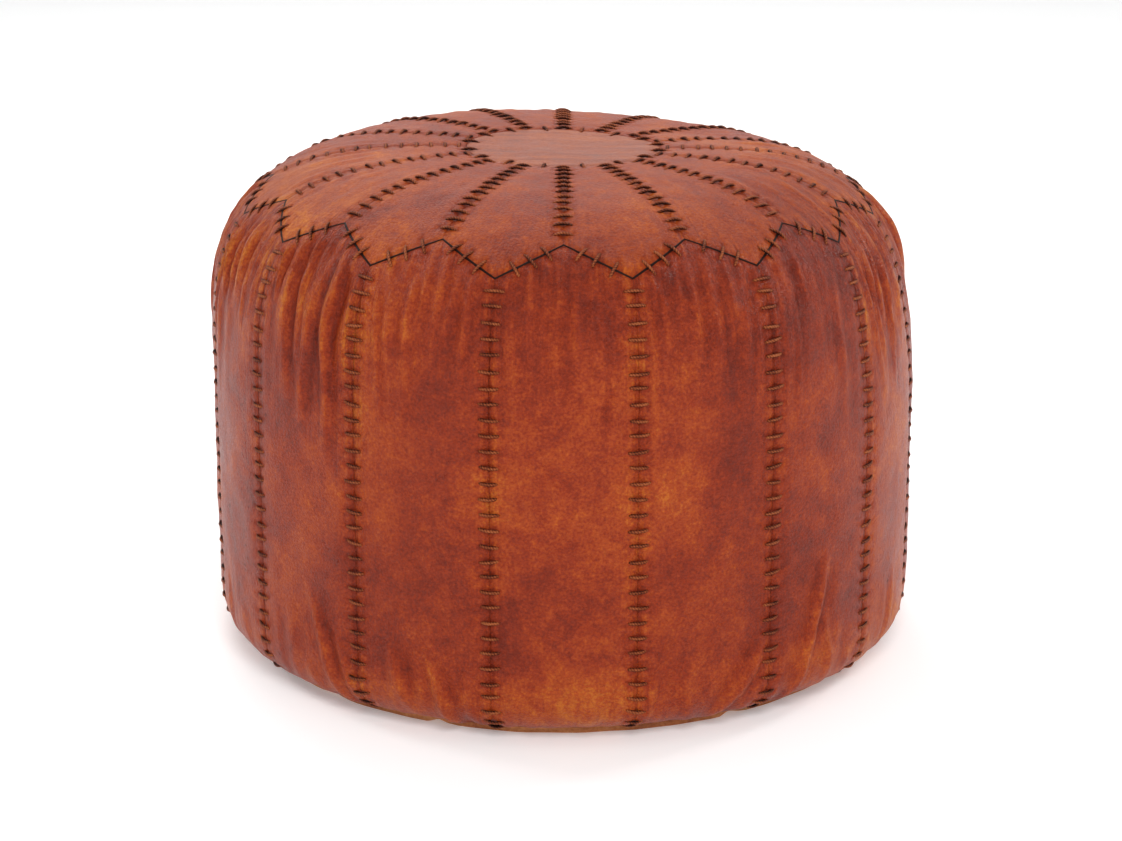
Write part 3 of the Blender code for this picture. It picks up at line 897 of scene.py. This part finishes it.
def cord_along(bm, points, outwards, radius, closed=False):
    """Adds a six-sided cord along a line of points."""
    count = len(points)
    steps = count if closed else count - 1
    added = bmesh.ops.create_grid(bm, x_segments=6, y_segments=steps, size=1.0)["verts"]
    for vertex in added:
        side = round((vertex.co.x + 1) * 3)
        step = round((vertex.co.y + 1) / 2 * steps) % count
        before, after = points[max(step - 1, 0)], points[min(step + 1, count - 1)]
        if closed:
            before, after = points[step - 1], points[(step + 1) % count]
        along = (after - before).normalized()
        aside = along.cross(outwards[step]).normalized()
        turn = math.tau * side / 6
        vertex.co = points[step] + (outwards[step] * math.cos(turn) + aside * math.sin(turn)) * radius
    bmesh.ops.remove_doubles(bm, verts=added, dist=1e-6)
    tube = list({face for vertex in added if vertex.is_valid for face in vertex.link_faces})
    rims = [edge for edge in {edge for face in tube for edge in face.edges} if edge.is_boundary]
    if rims:
        tube += bmesh.ops.holes_fill(bm, edges=rims, sides=0)["faces"]
    bmesh.ops.recalc_face_normals(bm, faces=tube)
    twist = bm.loops.layers.uv["Twist"]
    for face in tube:
        for loop in face.loops:
            loop[twist].uv = (0.0, 0.5)


def seam_cord(bm, places, closed, radius, lift):
    """A thin cord in a seam that passes through places, each an azimuth and a distance down."""
    found = [on_cover(azimuth, down, lift) for azimuth, down in places]
    cord_along(bm, [point for point, out in found], [out for point, out in found], radius, closed)


def seam_lines(name):
    """The seams that a piece of thread closes, as lists of places."""
    if name == "crown_thread":
        ring = [(SECTOR * step / 8, DISC_DOWN) for step in range(SECTORS * 8)]
        downs = [
            DISC_DOWN + (PEAK_DOWN - DISC_DOWN) * step / SPOKE_STEPS for step in range(1, SPOKE_STEPS)
        ]
        spokes = [[(number * SECTOR, down) for down in downs] for number in range(SECTORS)]
        return [(ring, True)] + [(spoke, False) for spoke in spokes]
    if name == "zigzag_thread":
        turns = [SECTOR * step / 24 for step in range(SECTORS * 24)]
        return [([(azimuth, zigzag_down(azimuth)) for azimuth in turns], True)]
    seam = (int(name[-2:]) - 0.5) * SECTOR
    start, end = VALLEY_DOWN + 0.002, FOOT_DOWN - 0.001
    return [([(seam, start + (end - start) * step / SIDE_STEPS) for step in range(SIDE_STEPS + 1)], False)]


def add_thread(name):
    """One piece of thread: its stitches and the cord along its seams."""
    hand = random.Random(name)
    bm = bmesh.new()
    bm.loops.layers.uv.new("Twist")
    for stitch in STITCH_PLAN[name]:
        lay_stitch(bm, stitch, hand)
    radius, lift = ZIGZAG_CORD if name == "zigzag_thread" else SEAM_CORD
    for places, closed in seam_lines(name):
        seam_cord(bm, places, closed, radius, lift)
    thread = add_piece(name.replace("thread", "stitches"), bm)
    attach(thread, "cover")
    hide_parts(name)
    return thread


threads = [add_thread(name) for name in STITCH_PLAN]
print(len(threads), "pieces of thread with", sum(len(thread.data.polygons) for thread in threads), "faces")

# %% [markdown]
# The base is thick tan leather in two halves, and its rim is the pale line at the floor. Each half is
# a grid mapped onto half a round, which turns into a plate with Solidify. Hand-cut leather has a wavy rim,
# and a strip beside the zip is moulded up off the floor, so that the slider never touches it.

# %% The two halves of the base
BASE_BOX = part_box("base_front")
BASE_RADIUS = BASE_BOX[1].x
BASE_LEATHER = 0.0040
STRIP_RISE = BASE_BOX[1].z - BASE_LEATHER
SLOT_HALF = 0.0070
ZIP_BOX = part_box("zip_stringer_front")
SLOT_END = ZIP_BOX[1].x + 0.0020
SLOT_TAPER = 0.0060
RIM_PROUD = 0.0024
ROWS_TO_RIM = 1.35


def rim_wave(azimuth):
    """How far the hand-cut rim is in or out of its circle."""
    round_about = Vector((math.cos(azimuth), math.sin(azimuth), 0.0))
    return RIM_PROUD + 0.0014 * noise.noise(round_about * 3.1) + 0.0009 * noise.noise(round_about * 11.0)


def base_place(across, along, side):
    """A point of the underside of a half: across goes from the zip to the rim, along from end to end."""
    edge = SLOT_HALF + (SEAM_GAP / 2 - SLOT_HALF) * smooth_share(
        abs(along) * BASE_RADIUS, SLOT_END - 0.001, SLOT_END + SLOT_TAPER
    )
    depth = edge + (BASE_RADIUS - edge) * across
    reach = math.sqrt(max(BASE_RADIUS**2 - depth**2, 0.0))
    point = Vector((along * reach, depth, 0.0))
    near_rim = smooth_share(point.length / BASE_RADIUS, 0.80, 1.0)
    azimuth = math.atan2(point.x, -side * point.y)
    point *= 1 + rim_wave(azimuth) * near_rim / BASE_RADIUS
    flat_end = smooth_share(abs(point.x), SLOT_END + 2 * SLOT_TAPER - 0.004, SLOT_END + 2 * SLOT_TAPER)
    point.z = STRIP_RISE * (1 - smooth_share(depth, 0.0160, 0.0235)) * (1 - flat_end)
    point.z += edge_rise(azimuth) * near_rim**3
    return Vector((point.x, side * point.y, point.z))


def soften_edges(piece, name, width, segments, degrees):
    """A rounded bevel on the edges of a piece that are sharper than an angle."""
    edges = piece.modifiers.new(name, "BEVEL")
    edges.width = width
    edges.segments = segments
    edges.limit_method = "ANGLE"
    edges.angle_limit = math.radians(degrees)
    return edges


def add_base_half(name, side):
    """One half of the base."""
    bm = bmesh.new()
    bmesh.ops.create_grid(bm, x_segments=160, y_segments=56, size=1.0)
    for vertex in bm.verts:
        share = (vertex.co.y + 1) / 2
        across = 0.9999 * math.sin(share**ROWS_TO_RIM * math.pi / 2)
        along = math.sin(vertex.co.x * math.pi / 2) * 0.5 + vertex.co.x * 0.5
        vertex.co = base_place(across, along, side)
    bmesh.ops.remove_doubles(bm, verts=bm.verts, dist=1e-5)
    bmesh.ops.recalc_face_normals(bm, faces=bm.faces)
    face_away(bm, None)
    bmesh.ops.reverse_faces(bm, faces=bm.faces)
    half = add_piece(name, bm)
    thicken(half, BASE_LEATHER)
    soften_edges(half, "Worn edges", 0.0006, 2, 50)
    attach(half, "cover")
    return half


base_halves = [add_base_half("base_leather_front", -1), add_base_half("base_leather_back", 1)]
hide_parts("base_front")
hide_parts("base_back")
print("Base rim", round(BASE_RADIUS, 4), "m, strip raised", round(STRIP_RISE * 1000, 1), "mm")

# %% [markdown]
# The filling sits in a cotton bag. Both are already the right size in the frame, but only as facets, so
# a copy of each is merged, given more faces, and pressed in softly here and there, as loose filling is
# under cloth. They share one pattern of dents, and the filling gets deeper ones, so the bag never touches.

# %% The cotton bag and the filling
BAG_DENT = 0.0006
FILLING_DENT = 0.0030
FLAT_BELOW = 0.020
DENTED_ABOVE = 0.050


def copy_of(node):
    """A bmesh copy of a CAD node, with its loose triangles merged."""
    bm = bmesh.new()
    bm.from_mesh(frame["nodes"][node].data)
    bmesh.ops.remove_doubles(bm, verts=bm.verts, dist=1e-6)
    return bm


def add_filling(node, name, extra_dent, cuts):
    """A softer piece in place of the CAD bag or filling."""
    bm = copy_of(node)
    bmesh.ops.subdivide_edges(bm, edges=bm.edges, cuts=cuts, use_grid_fill=True)
    for vertex in bm.verts:
        point = vertex.co.copy()
        if point.z < FLAT_BELOW:
            continue
        outward = Vector((point.x, point.y, max(point.z - HEIGHT * 0.72, 0.0) * 2.4)).normalized()
        gather = BAG_DENT * (0.5 + 0.5 * noise.noise(point * 40))
        lump = extra_dent * (0.5 + 0.5 * noise.noise(point * 23 + Vector((7, 1, 3))))
        free = smooth_share(point.z, FLAT_BELOW, DENTED_ABOVE)
        vertex.co = settled_top(point - outward * free * (gather + lump))
    return add_piece(name, bm)


bag = add_filling("liner_bag", "cotton_bag", 0.0, 3)
filling = add_filling("stuffing", "cotton_filling", FILLING_DENT, 4)
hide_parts("liner_bag")
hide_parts("stuffing")
for piece, slot in ((bag, "cotton"), (filling, "fibre")):
    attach(piece, "cover")
print("Bag:", len(bag.data.polygons), "faces, filling:", len(filling.data.polygons), "faces")

# %% [markdown]
# The zip under the base has two woven tapes, and a row of small loops along each. One loop is a circle
# spun once round, leaned over like a turn of a coil, and repeated with an Array modifier, which keeps the
# faces of each loop few. The tape is a thin band of cells.

# %% The zip's tapes and coils
COIL_RADIUS = 0.0012
COIL_HEIGHT = (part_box("zip_stringer_front")[0].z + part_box("zip_stringer_front")[1].z) / 2
COIL_END = 0.0012
LOOP_PITCH = 0.0015
LOOP_WIRE = 0.00027
LOOP_LEAN = 0.35
TAPE = 0.0006
TAPE_GAP = 0.0008
TAPE_END = 0.0002


def add_tape(name, side, node):
    """One tape of the zip with its coil."""
    inner, outer = COIL_RADIUS + TAPE_GAP, -ZIP_BOX[0].y
    bm = bmesh.new()
    bmesh.ops.create_grid(bm, x_segments=90, y_segments=6, size=1.0)
    for vertex in bm.verts:
        along = vertex.co.x * (ZIP_BOX[1].x - TAPE_END)
        across = inner + (outer - inner) * (vertex.co.y + 1) / 2
        rest = abs(vertex.co.y) < 0.99
        ripple = 0.00010 * noise.noise((along * 90, across * 60, side)) if rest else 0.0
        vertex.co = (along, side * across, COIL_HEIGHT + TAPE / 2 + ripple)
    bmesh.ops.recalc_face_normals(bm, faces=bm.faces)
    face_away(bm, None)
    bmesh.ops.solidify(bm, geom=bm.faces[:], thickness=TAPE)
    tape = add_piece(name, bm)
    tape.data.shade_flat()
    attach(tape, "cover")
    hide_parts(node)
    return tape


def add_coil(name, side):
    """The loops along one tape."""
    bm = bmesh.new()
    ring = bmesh.ops.create_circle(bm, cap_ends=False, radius=LOOP_WIRE, segments=5)["verts"]
    bmesh.ops.rotate(bm, verts=ring, cent=(0, 0, 0), matrix=Matrix.Rotation(math.pi / 2, 3, "X"))
    bmesh.ops.translate(bm, verts=ring, vec=(0, 0, COIL_RADIUS - LOOP_WIRE))
    bmesh.ops.spin(
        bm,
        geom=bm.verts[:] + bm.edges[:],
        cent=(0, 0, 0),
        axis=(1, 0, 0),
        angle=math.tau,
        steps=9,
        use_merge=True,
    )
    bmesh.ops.remove_doubles(bm, verts=bm.verts, dist=1e-6)
    bmesh.ops.recalc_face_normals(bm, faces=bm.faces)
    start = -ZIP_BOX[1].x + COIL_END
    for vertex in bm.verts:
        vertex.co.x += vertex.co.z * LOOP_LEAN + start
    bmesh.ops.translate(bm, verts=bm.verts, vec=(0, side * (COIL_RADIUS + TAPE_GAP), COIL_HEIGHT))
    coil = add_piece(name, bm)
    row = coil.modifiers.new("Row of loops", "ARRAY")
    row.use_relative_offset = False
    row.use_constant_offset = True
    row.constant_offset_displace = (LOOP_PITCH, 0, 0)
    row.count = int((2 * ZIP_BOX[1].x - 2 * COIL_END) / LOOP_PITCH)
    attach(coil, "cover")
    return coil


tapes = [
    add_tape("zip_tape_front", -1, "zip_stringer_front"),
    add_tape("zip_tape_back", 1, "zip_stringer_back"),
]
coils = [add_coil("zip_coil_front", -1), add_coil("zip_coil_back", 1)]
print("Each coil has", coils[0].modifiers[0].count, "loops")

# %% [markdown]
# The slider and its pull are right in shape in the frame, but their edges are knife sharp, and cast metal
# never is. A merged copy of each gets a small rounded bevel, which also catches the light.

# %% The slider and the pull
def add_cast(node, name, body, width):
    """A copy of a metal CAD node with its edges rounded."""
    bm = copy_of(node)
    bmesh.ops.dissolve_limit(bm, angle_limit=math.radians(1), verts=bm.verts[:], edges=bm.edges[:])
    cast = add_piece(name, bm)
    cast.data.shade_flat()
    soften_edges(cast, "Rounded", width, 3, 35).harden_normals = True
    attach(cast, body)
    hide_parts(node)
    return cast


slider = add_cast("zip_slider", "cast_slider", "slider", 0.00018)
pull = add_cast("zip_pull", "cast_pull", "pull", 0.00022)
print("Slider and pull rounded")

# %% [markdown]
# The leather is dyed by hand, so its colour is never even: broad clouds where the dye pooled, small
# blotches, brush marks, and a paler orange where handling has rubbed the seams. Raised places are painted
# paler and low places darker, partly that rubbing and partly painted highlight and shade; creases get
# painted dark and light streaks, and the leather round the stitches is darkened by wax and painted shade.
# Several noises of different sizes are added up and sent through one colour ramp, which keeps all
# colours in one family. The grain is bump: tiny rounded cells, with finer noise on them.

# %% Helpers for materials
def dye(code):
    """A colour from its six-digit web code, as the linear numbers that a shader wants."""
    parts = [int(code[i : i + 2], 16) / 255 for i in (0, 2, 4)]
    linear = [part / 12.92 if part <= 0.04045 else ((part + 0.055) / 1.055) ** 2.4 for part in parts]
    return (*linear, 1.0)


def add_node(tree, kind, inputs=None, **settings):
    """A shader node with its settings, its plain input values and its links."""
    made = tree.nodes.new("ShaderNode" + kind)
    for key, value in settings.items():
        setattr(made, key, value)
    for key, value in (inputs or {}).items():
        if isinstance(value, bpy.types.NodeSocket):
            tree.links.new(value, made.inputs[key])
        else:
            made.inputs[key].default_value = value
    return made


def new_finish(name, roughness, **sockets):
    """A material, its node tree, its shader, and the place of each point on the piece."""
    material = bpy.data.materials.new(name)
    material.use_nodes = True
    tree = material.node_tree
    shader = tree.nodes["Principled BSDF"]
    shader.inputs["Roughness"].default_value = roughness
    for key, value in sockets.items():
        shader.inputs[key.replace("_", " ")].default_value = value
    return material, tree, shader, add_node(tree, "TexCoord").outputs["Object"]


def noise_at(tree, place, scale, detail=4.0, roughness=0.55, distortion=0.0):
    """A noise pattern, in cells for each metre."""
    inputs = {"Vector": place, "Scale": scale, "Detail": detail}
    inputs |= {"Roughness": roughness, "Distortion": distortion}
    return add_node(tree, "TexNoise", inputs).outputs["Fac"]


def calc(tree, operation, first, second=0.0, third=0.0, clamp=False):
    """One step of arithmetic between sockets or numbers."""
    made = add_node(tree, "Math", {0: first, 1: second, 2: third}, operation=operation, use_clamp=clamp)
    return made.outputs[0]


def weighted(tree, parts):
    """A sum of sockets, each times its weight."""
    total = calc(tree, "MULTIPLY", parts[0][0], parts[0][1])
    for socket, weight in parts[1:]:
        total = calc(tree, "MULTIPLY_ADD", socket, weight, total)
    return total


def ramp(tree, value, stops):
    """A colour ramp through stops, each a place and a web code."""
    made = add_node(tree, "ValToRGB", {"Fac": value})
    elements = made.color_ramp.elements
    while len(elements) < len(stops):
        elements.new(0.5)
    for element, (place, code) in zip(elements, stops):
        element.position = place
        element.color = dye(code)
    return made.outputs["Color"]


def stretched(tree, place, scale):
    """The same places with each axis scaled, so that a pattern turns into streaks."""
    return add_node(tree, "Mapping", {"Vector": place, "Scale": scale}).outputs["Vector"]


def noted(tree, name):
    """An attribute that a mesh carries, as a number."""
    return add_node(tree, "Attribute", attribute_name=name).outputs["Fac"]


def bumps(tree, shader, layers):
    """Stacks bump layers, each a height socket, a depth in metres and a strength."""
    below = None
    for height, depth, strength in layers:
        inputs = {"Height": height, "Distance": depth, "Strength": strength}
        if below:
            inputs["Normal"] = below
        below = add_node(tree, "Bump", inputs).outputs["Normal"]
    tree.links.new(below, shader.inputs["Normal"])


print("Pure dye red becomes", [round(part, 3) for part in dye("9C4120")[:3]])

# %% [markdown]
# Petals, side panels and disc are the same leather in three states. The petals are a little oranger, as
# a seat is rubbed most. The disc shows brush marks, and its greyer, pinker colours are a painted
# reflection of the bright room on top of its dye. So one function makes all three, and only the colours
# and the streaks differ.

# %% The dyed leather
def dyed_leather(name, stops, streak_scale, streak_weight, roughness, shine):
    """Hand-dyed, polished leather."""
    material, tree, shader, place = new_finish(name, roughness)
    clouds = noise_at(tree, place, 8.0, 4.0, 0.55, 0.6)
    patches = noise_at(tree, place, 26.0, 6.0, 0.62, 0.9)
    blotches = noise_at(tree, place, 110.0, 5.0, 0.68, 0.4)
    flecks = noise_at(tree, place, 520.0, 3.0, 0.6)
    streaks = noise_at(tree, stretched(tree, place, streak_scale), 1.0, 5.0, 0.62, 0.3)
    cut = add_node(tree, "Attribute", attribute_name="cut").outputs["Vector"]
    # Dark and light streaks along the creases: a painted shade and highlight of the folds, also used as
    # bump.
    folded = noise_at(tree, stretched(tree, cut, (48.0, 13.0, 0.0)), 1.0, 5.0, 0.66, 0.5)
    crease = noted(tree, "crease")
    folded = calc(tree, "MULTIPLY", calc(tree, "SUBTRACT", folded, 0.5), crease)
    near = noted(tree, "near_seam")
    stain = noted(tree, "stain")
    shade = weighted(
        tree,
        [
            (clouds, 0.30),
            (patches, 0.22),
            (blotches, 0.20),
            (flecks, 0.28),
            (streaks, streak_weight),
            (noted(tree, "tone"), 0.016),
            (near, 0.014),
            # Raised places paler and low ones darker: partly rubbed wear, partly a painted highlight and
            # shade.
            (noted(tree, "lift"), 0.060),
            (folded, 0.50),
            # Darker round the stitches: wax and a painted shade under the cord.
            (stain, -0.025),
        ],
    )
    shade = calc(tree, "SUBTRACT", shade, (1.0 + streak_weight) / 2 - 0.5)
    tree.links.new(ramp(tree, shade, stops), shader.inputs["Base Color"])
    polish = weighted(tree, [(patches, 0.30), (blotches, 0.20), (stain, 0.10)])
    tree.links.new(calc(tree, "ADD", polish, roughness - 0.25), shader.inputs["Roughness"])
    cells = add_node(tree, "TexVoronoi", {"Vector": place, "Scale": 620.0}, feature="F1")
    wrinkles = noise_at(tree, place, 190.0, 7.0, 0.74, 1.8)
    pores = noise_at(tree, place, 1500.0, 2.0, 0.5)
    coarse = [(folded, 0.0040, 0.9), (wrinkles, 0.00150, 0.95)]
    fine = [(cells.outputs["Distance"], 0.00045, 0.9), (pores, 0.00016, 0.7)]
    bumps(tree, shader, coarse + fine)
    shader.inputs["Specular IOR Level"].default_value = shine
    return material


SIDE_STOPS = [(0.34, "5C190A"), (0.43, "79240D"), (0.50, "913010"), (0.57, "A84516"), (0.66, "C0681F")]
PETAL_STOPS = [(0.34, "641F0B"), (0.43, "872D10"), (0.50, "9F3E11"), (0.57, "B55314"), (0.66, "CE751F")]
# The disc's greyer, pinker stops hold a painted reflection of the bright room on top of the dye.
DISC_STOPS = [(0.34, "6A2816"), (0.43, "8E4024"), (0.50, "A2502E"), (0.57, "B05E34"), (0.67, "C2723C")]
side_finish = dyed_leather("dyed_leather_side", SIDE_STOPS, (32, 32, 7), 0.10, 0.34, 0.19)
petal_finish = dyed_leather("dyed_leather_petal", PETAL_STOPS, (30, 30, 30), 0.08, 0.40, 0.18)
disc_finish = dyed_leather("dyed_leather_disc", DISC_STOPS, (9, 110, 30), 0.30, 0.46, 0.32)
print("Three leathers, with", len(side_finish.node_tree.nodes), "nodes each")

# %% [markdown]
# The cord is waxed. Its colour is darker in the grooves between its strands, partly wax and partly
# painted shade, and lighter on its top and darker on the sides that face the leather, a painted highlight
# and shade. Its UV map already counts twists along it and turns round it, and their sum makes a spiral.
# The base is raw tan leather, dry and rougher. The bag is plain woven cotton, the tapes are a tighter
# weave, and the slider is old brass.

# %% The cord, base, cloth and metal
def waxed_cord():
    """Twisted cord, dark brown and waxed."""
    material, tree, shader, place = new_finish("waxed_cord", 0.6, Specular_IOR_Level=0.15)
    parts = add_node(tree, "SeparateXYZ", {0: add_node(tree, "UVMap", uv_map="Twist").outputs["UV"]})
    spiral = calc(tree, "ADD", parts.outputs["X"], parts.outputs["Y"])
    strands = calc(tree, "SINE", calc(tree, "MULTIPLY", spiral, 2 * math.tau))
    # Lighter on the top of the cord and darker underneath: a painted highlight and shade.
    painted_light_round_cord = calc(tree, "COSINE", calc(tree, "MULTIPLY", parts.outputs["Y"], math.tau))
    wear = noise_at(tree, place, 60.0, 4.0, 0.6)
    fuzz = noise_at(tree, place, 1400.0, 3.0, 0.6)
    shade = weighted(tree, [(strands, 0.05), (wear, 0.45), (fuzz, 0.35), (painted_light_round_cord, 0.17)])
    stops = [(0.32, "1A0703"), (0.42, "3A1409"), (0.53, "74341A"), (0.66, "A45A32")]
    tree.links.new(ramp(tree, shade, stops), shader.inputs["Base Color"])
    bumps(tree, shader, [(strands, 0.00022, 0.9), (fuzz, 0.00010, 0.5)])
    return material


def tan_leather():
    """Raw vegetable-tanned leather."""
    material, tree, shader, place = new_finish("tan_leather", 0.68)
    clouds = noise_at(tree, place, 14.0, 5.0, 0.6, 0.5)
    specks = noise_at(tree, place, 420.0, 4.0, 0.7)
    shade = weighted(tree, [(clouds, 0.6), (specks, 0.4)])
    stops = [(0.34, "8A4826"), (0.46, "B86E3A"), (0.56, "CC8850"), (0.68, "DCA470")]
    tree.links.new(ramp(tree, shade, stops), shader.inputs["Base Color"])
    tree.links.new(calc(tree, "MULTIPLY_ADD", clouds, 0.3, 0.52), shader.inputs["Roughness"])
    nap = noise_at(tree, place, 900.0, 4.0, 0.7, 0.6)
    bumps(tree, shader, [(clouds, 0.0010, 0.4), (nap, 0.00020, 0.6)])
    return material


def woven(name, stops, threads, roughness):
    """A plain weave: threads along two axes that dip under each other, in threads for each metre."""
    material, tree, shader, place = new_finish(name, roughness, Sheen_Weight=0.25)
    parts = add_node(tree, "SeparateXYZ", {0: place})
    steps = [calc(tree, "MULTIPLY", parts.outputs[axis], threads * math.pi) for axis in "XYZ"]
    first = calc(tree, "SINE", calc(tree, "ADD", steps[0], steps[2]))
    second = calc(tree, "SINE", calc(tree, "ADD", steps[1], calc(tree, "MULTIPLY", steps[2], 0.37)))
    weave = calc(tree, "MULTIPLY", first, second)
    uneven = noise_at(tree, place, 45.0, 5.0, 0.6, 0.4)
    shade = weighted(tree, [(weave, 0.06), (uneven, 1.0)])
    tree.links.new(ramp(tree, shade, stops), shader.inputs["Base Color"])
    tree.links.new(calc(tree, "MULTIPLY_ADD", uneven, 0.2, roughness - 0.1), shader.inputs["Roughness"])
    bumps(tree, shader, [(weave, 0.5 / threads, 0.6), (uneven, 0.0012, 0.4)])
    return material


def loose_fibre():
    """Cotton waste: pale, matt and matted."""
    material, tree, shader, place = new_finish("loose_fibre", 0.95, Sheen_Weight=0.4)
    tufts = noise_at(tree, place, 70.0, 8.0, 0.75, 2.5)
    hairs = noise_at(tree, stretched(tree, place, (900, 260, 500)), 1.0, 4.0, 0.7, 3.0)
    shade = weighted(tree, [(tufts, 0.6), (hairs, 0.4)])
    stops = [(0.34, "8F8470"), (0.48, "BDB29C"), (0.66, "DED6C5")]
    tree.links.new(ramp(tree, shade, stops), shader.inputs["Base Color"])
    bumps(tree, shader, [(tufts, 0.0030, 0.8), (hairs, 0.0006, 0.7)])
    return material


def old_brass():
    """Cast zip metal with a worn antique finish."""
    material, tree, shader, place = new_finish("old_brass", 0.35, Metallic=1.0)
    patina = noise_at(tree, place, 420.0, 5.0, 0.65, 0.6)
    scratches = noise_at(tree, stretched(tree, place, (300, 2600, 2600)), 1.0, 3.0, 0.6)
    shade = weighted(tree, [(patina, 0.75), (scratches, 0.25)])
    stops = [(0.36, "3F2E18"), (0.50, "7E6236"), (0.66, "B4935A")]
    tree.links.new(ramp(tree, shade, stops), shader.inputs["Base Color"])
    tree.links.new(calc(tree, "MULTIPLY_ADD", patina, 0.5, 0.12), shader.inputs["Roughness"])
    bumps(tree, shader, [(scratches, 0.00003, 0.6), (patina, 0.00005, 0.6)])
    return material


cord_finish = waxed_cord()
tan_finish = tan_leather()
cotton_finish = woven(
    "woven_cotton", [(0.36, "A89A80"), (0.50, "CFC4AC"), (0.64, "E4DCC9")], 1400, 0.85
)
tape_finish = woven("zip_weave", [(0.36, "24140D"), (0.50, "3B2317"), (0.64, "523424")], 1800, 0.75)
fibre_finish = loose_fibre()
brass_finish = old_brass()
print("Finishes:", len(bpy.data.materials))

# %% [markdown]
# Each piece gets its finish, so that a scene that uses this part can change one leather without the
# others. The leather pieces are sheets that were cut flat. The bag is one skin of the CAD bag, the tapes
# are plain strips, and the filling is a full pad.

# %% Give each piece its finish
def paint(pieces, finish):
    """Puts one finish on several pieces."""
    for piece in pieces:
        piece.data.materials.clear()
        piece.data.materials.append(finish)


paint(petals, petal_finish)
paint(side_panels, side_finish)
paint([disc], disc_finish)
paint(threads, cord_finish)
paint(base_halves, tan_finish)
paint([bag], cotton_finish)
paint([filling], fibre_finish)
paint(tapes + coils, tape_finish)
paint([slider, pull], brass_finish)

# %% [markdown]
# The light is that of a plain white studio: a bright room, one big soft light high at the back that makes
# the top shine, a small one behind each side, and the main one in front. Area lights are used because
# their size sets how soft the shine is. The room itself is the world's colour, brighter at the back.

# %% Floor, light and camera
# Each light: where it stands, how high it aims, its size in metres, and its power in watts.
LIGHTS = {
    "back_light": ((-0.5, 1.7, 2.0), 0.3, 1.6, 20),
    "left_light": ((-2.1, 1.0, 1.3), 0.2, 0.6, 14),
    "right_light": ((2.1, 1.2, 1.4), 0.2, 0.5, 17),
    "front_light": ((0.3, -2.7, 2.1), 0.1, 1.4, 60),
}


def add_floor():
    """A plain pale floor, wide enough to fill the view."""
    bm = bmesh.new()
    bmesh.ops.create_grid(bm, x_segments=8, y_segments=8, size=9.0)
    bmesh.ops.translate(bm, verts=bm.verts, vec=(0, 0, CAD_BOX[0].z - 0.0002))
    floor = add_piece("studio_floor", bm)
    material, tree, shader, place = new_finish("studio_white", 0.9)
    shader.inputs["Base Color"].default_value = (0.92, 0.92, 0.92, 1.0)
    shader.inputs["Specular IOR Level"].default_value = 0.1
    shader.inputs["Emission Color"].default_value = (1.0, 1.0, 1.0, 1.0)
    shader.inputs["Emission Strength"].default_value = 0.22
    floor.data.materials.append(material)


def add_light(name, place, target, size, power):
    """A soft area light that faces a target."""
    light = bpy.data.lights.new(name, "AREA")
    light.shape = "DISK"
    light.size = size
    light.energy = power
    lamp = bpy.data.objects.new(name, light)
    lamp.location = place
    lamp.rotation_euler = (Vector(target) - Vector(place)).to_track_quat("-Z", "Y").to_euler()
    bpy.context.scene.collection.objects.link(lamp)


def add_camera():
    """A camera a little above the cushion, far enough to keep its shape natural."""
    elevation = math.radians(17.3)
    distance = 9 * RADIUS
    aim = Vector((-0.0018, 0.0, 0.608 * RADIUS))
    camera = bpy.data.cameras.new("studio_camera")
    camera.lens = 99.2
    camera.sensor_width = 36.0
    camera_object = bpy.data.objects.new("studio_camera", camera)
    back = Vector((0, -math.cos(elevation), math.sin(elevation)))
    camera_object.location = aim + back * distance
    camera_object.rotation_euler = (math.pi / 2 - elevation, 0, 0)
    bpy.context.scene.collection.objects.link(camera_object)
    bpy.context.scene.camera = camera_object


def add_room():
    """A white room that is bright behind the cushion and darker on the camera's side."""
    world = bpy.data.worlds.new("studio_room")
    world.use_nodes = True
    tree = world.node_tree
    parts = add_node(tree, "SeparateXYZ", {0: add_node(tree, "TexCoord").outputs["Generated"]})
    behind = calc(tree, "MULTIPLY_ADD", parts.outputs["Y"], 0.27, 0.58)
    tree.links.new(behind, tree.nodes["Background"].inputs["Strength"])
    tree.nodes["Background"].inputs["Color"].default_value = (1.0, 1.0, 1.0, 1.0)
    bpy.context.scene.world = world


add_floor()
add_room()
for name, (place, aim, size, power) in LIGHTS.items():
    add_light(name, place, (0, 0, aim), size, power)
add_camera()
bpy.context.scene.view_settings.view_transform = "Standard"
print("Lights:", [item.name for item in bpy.data.lights])
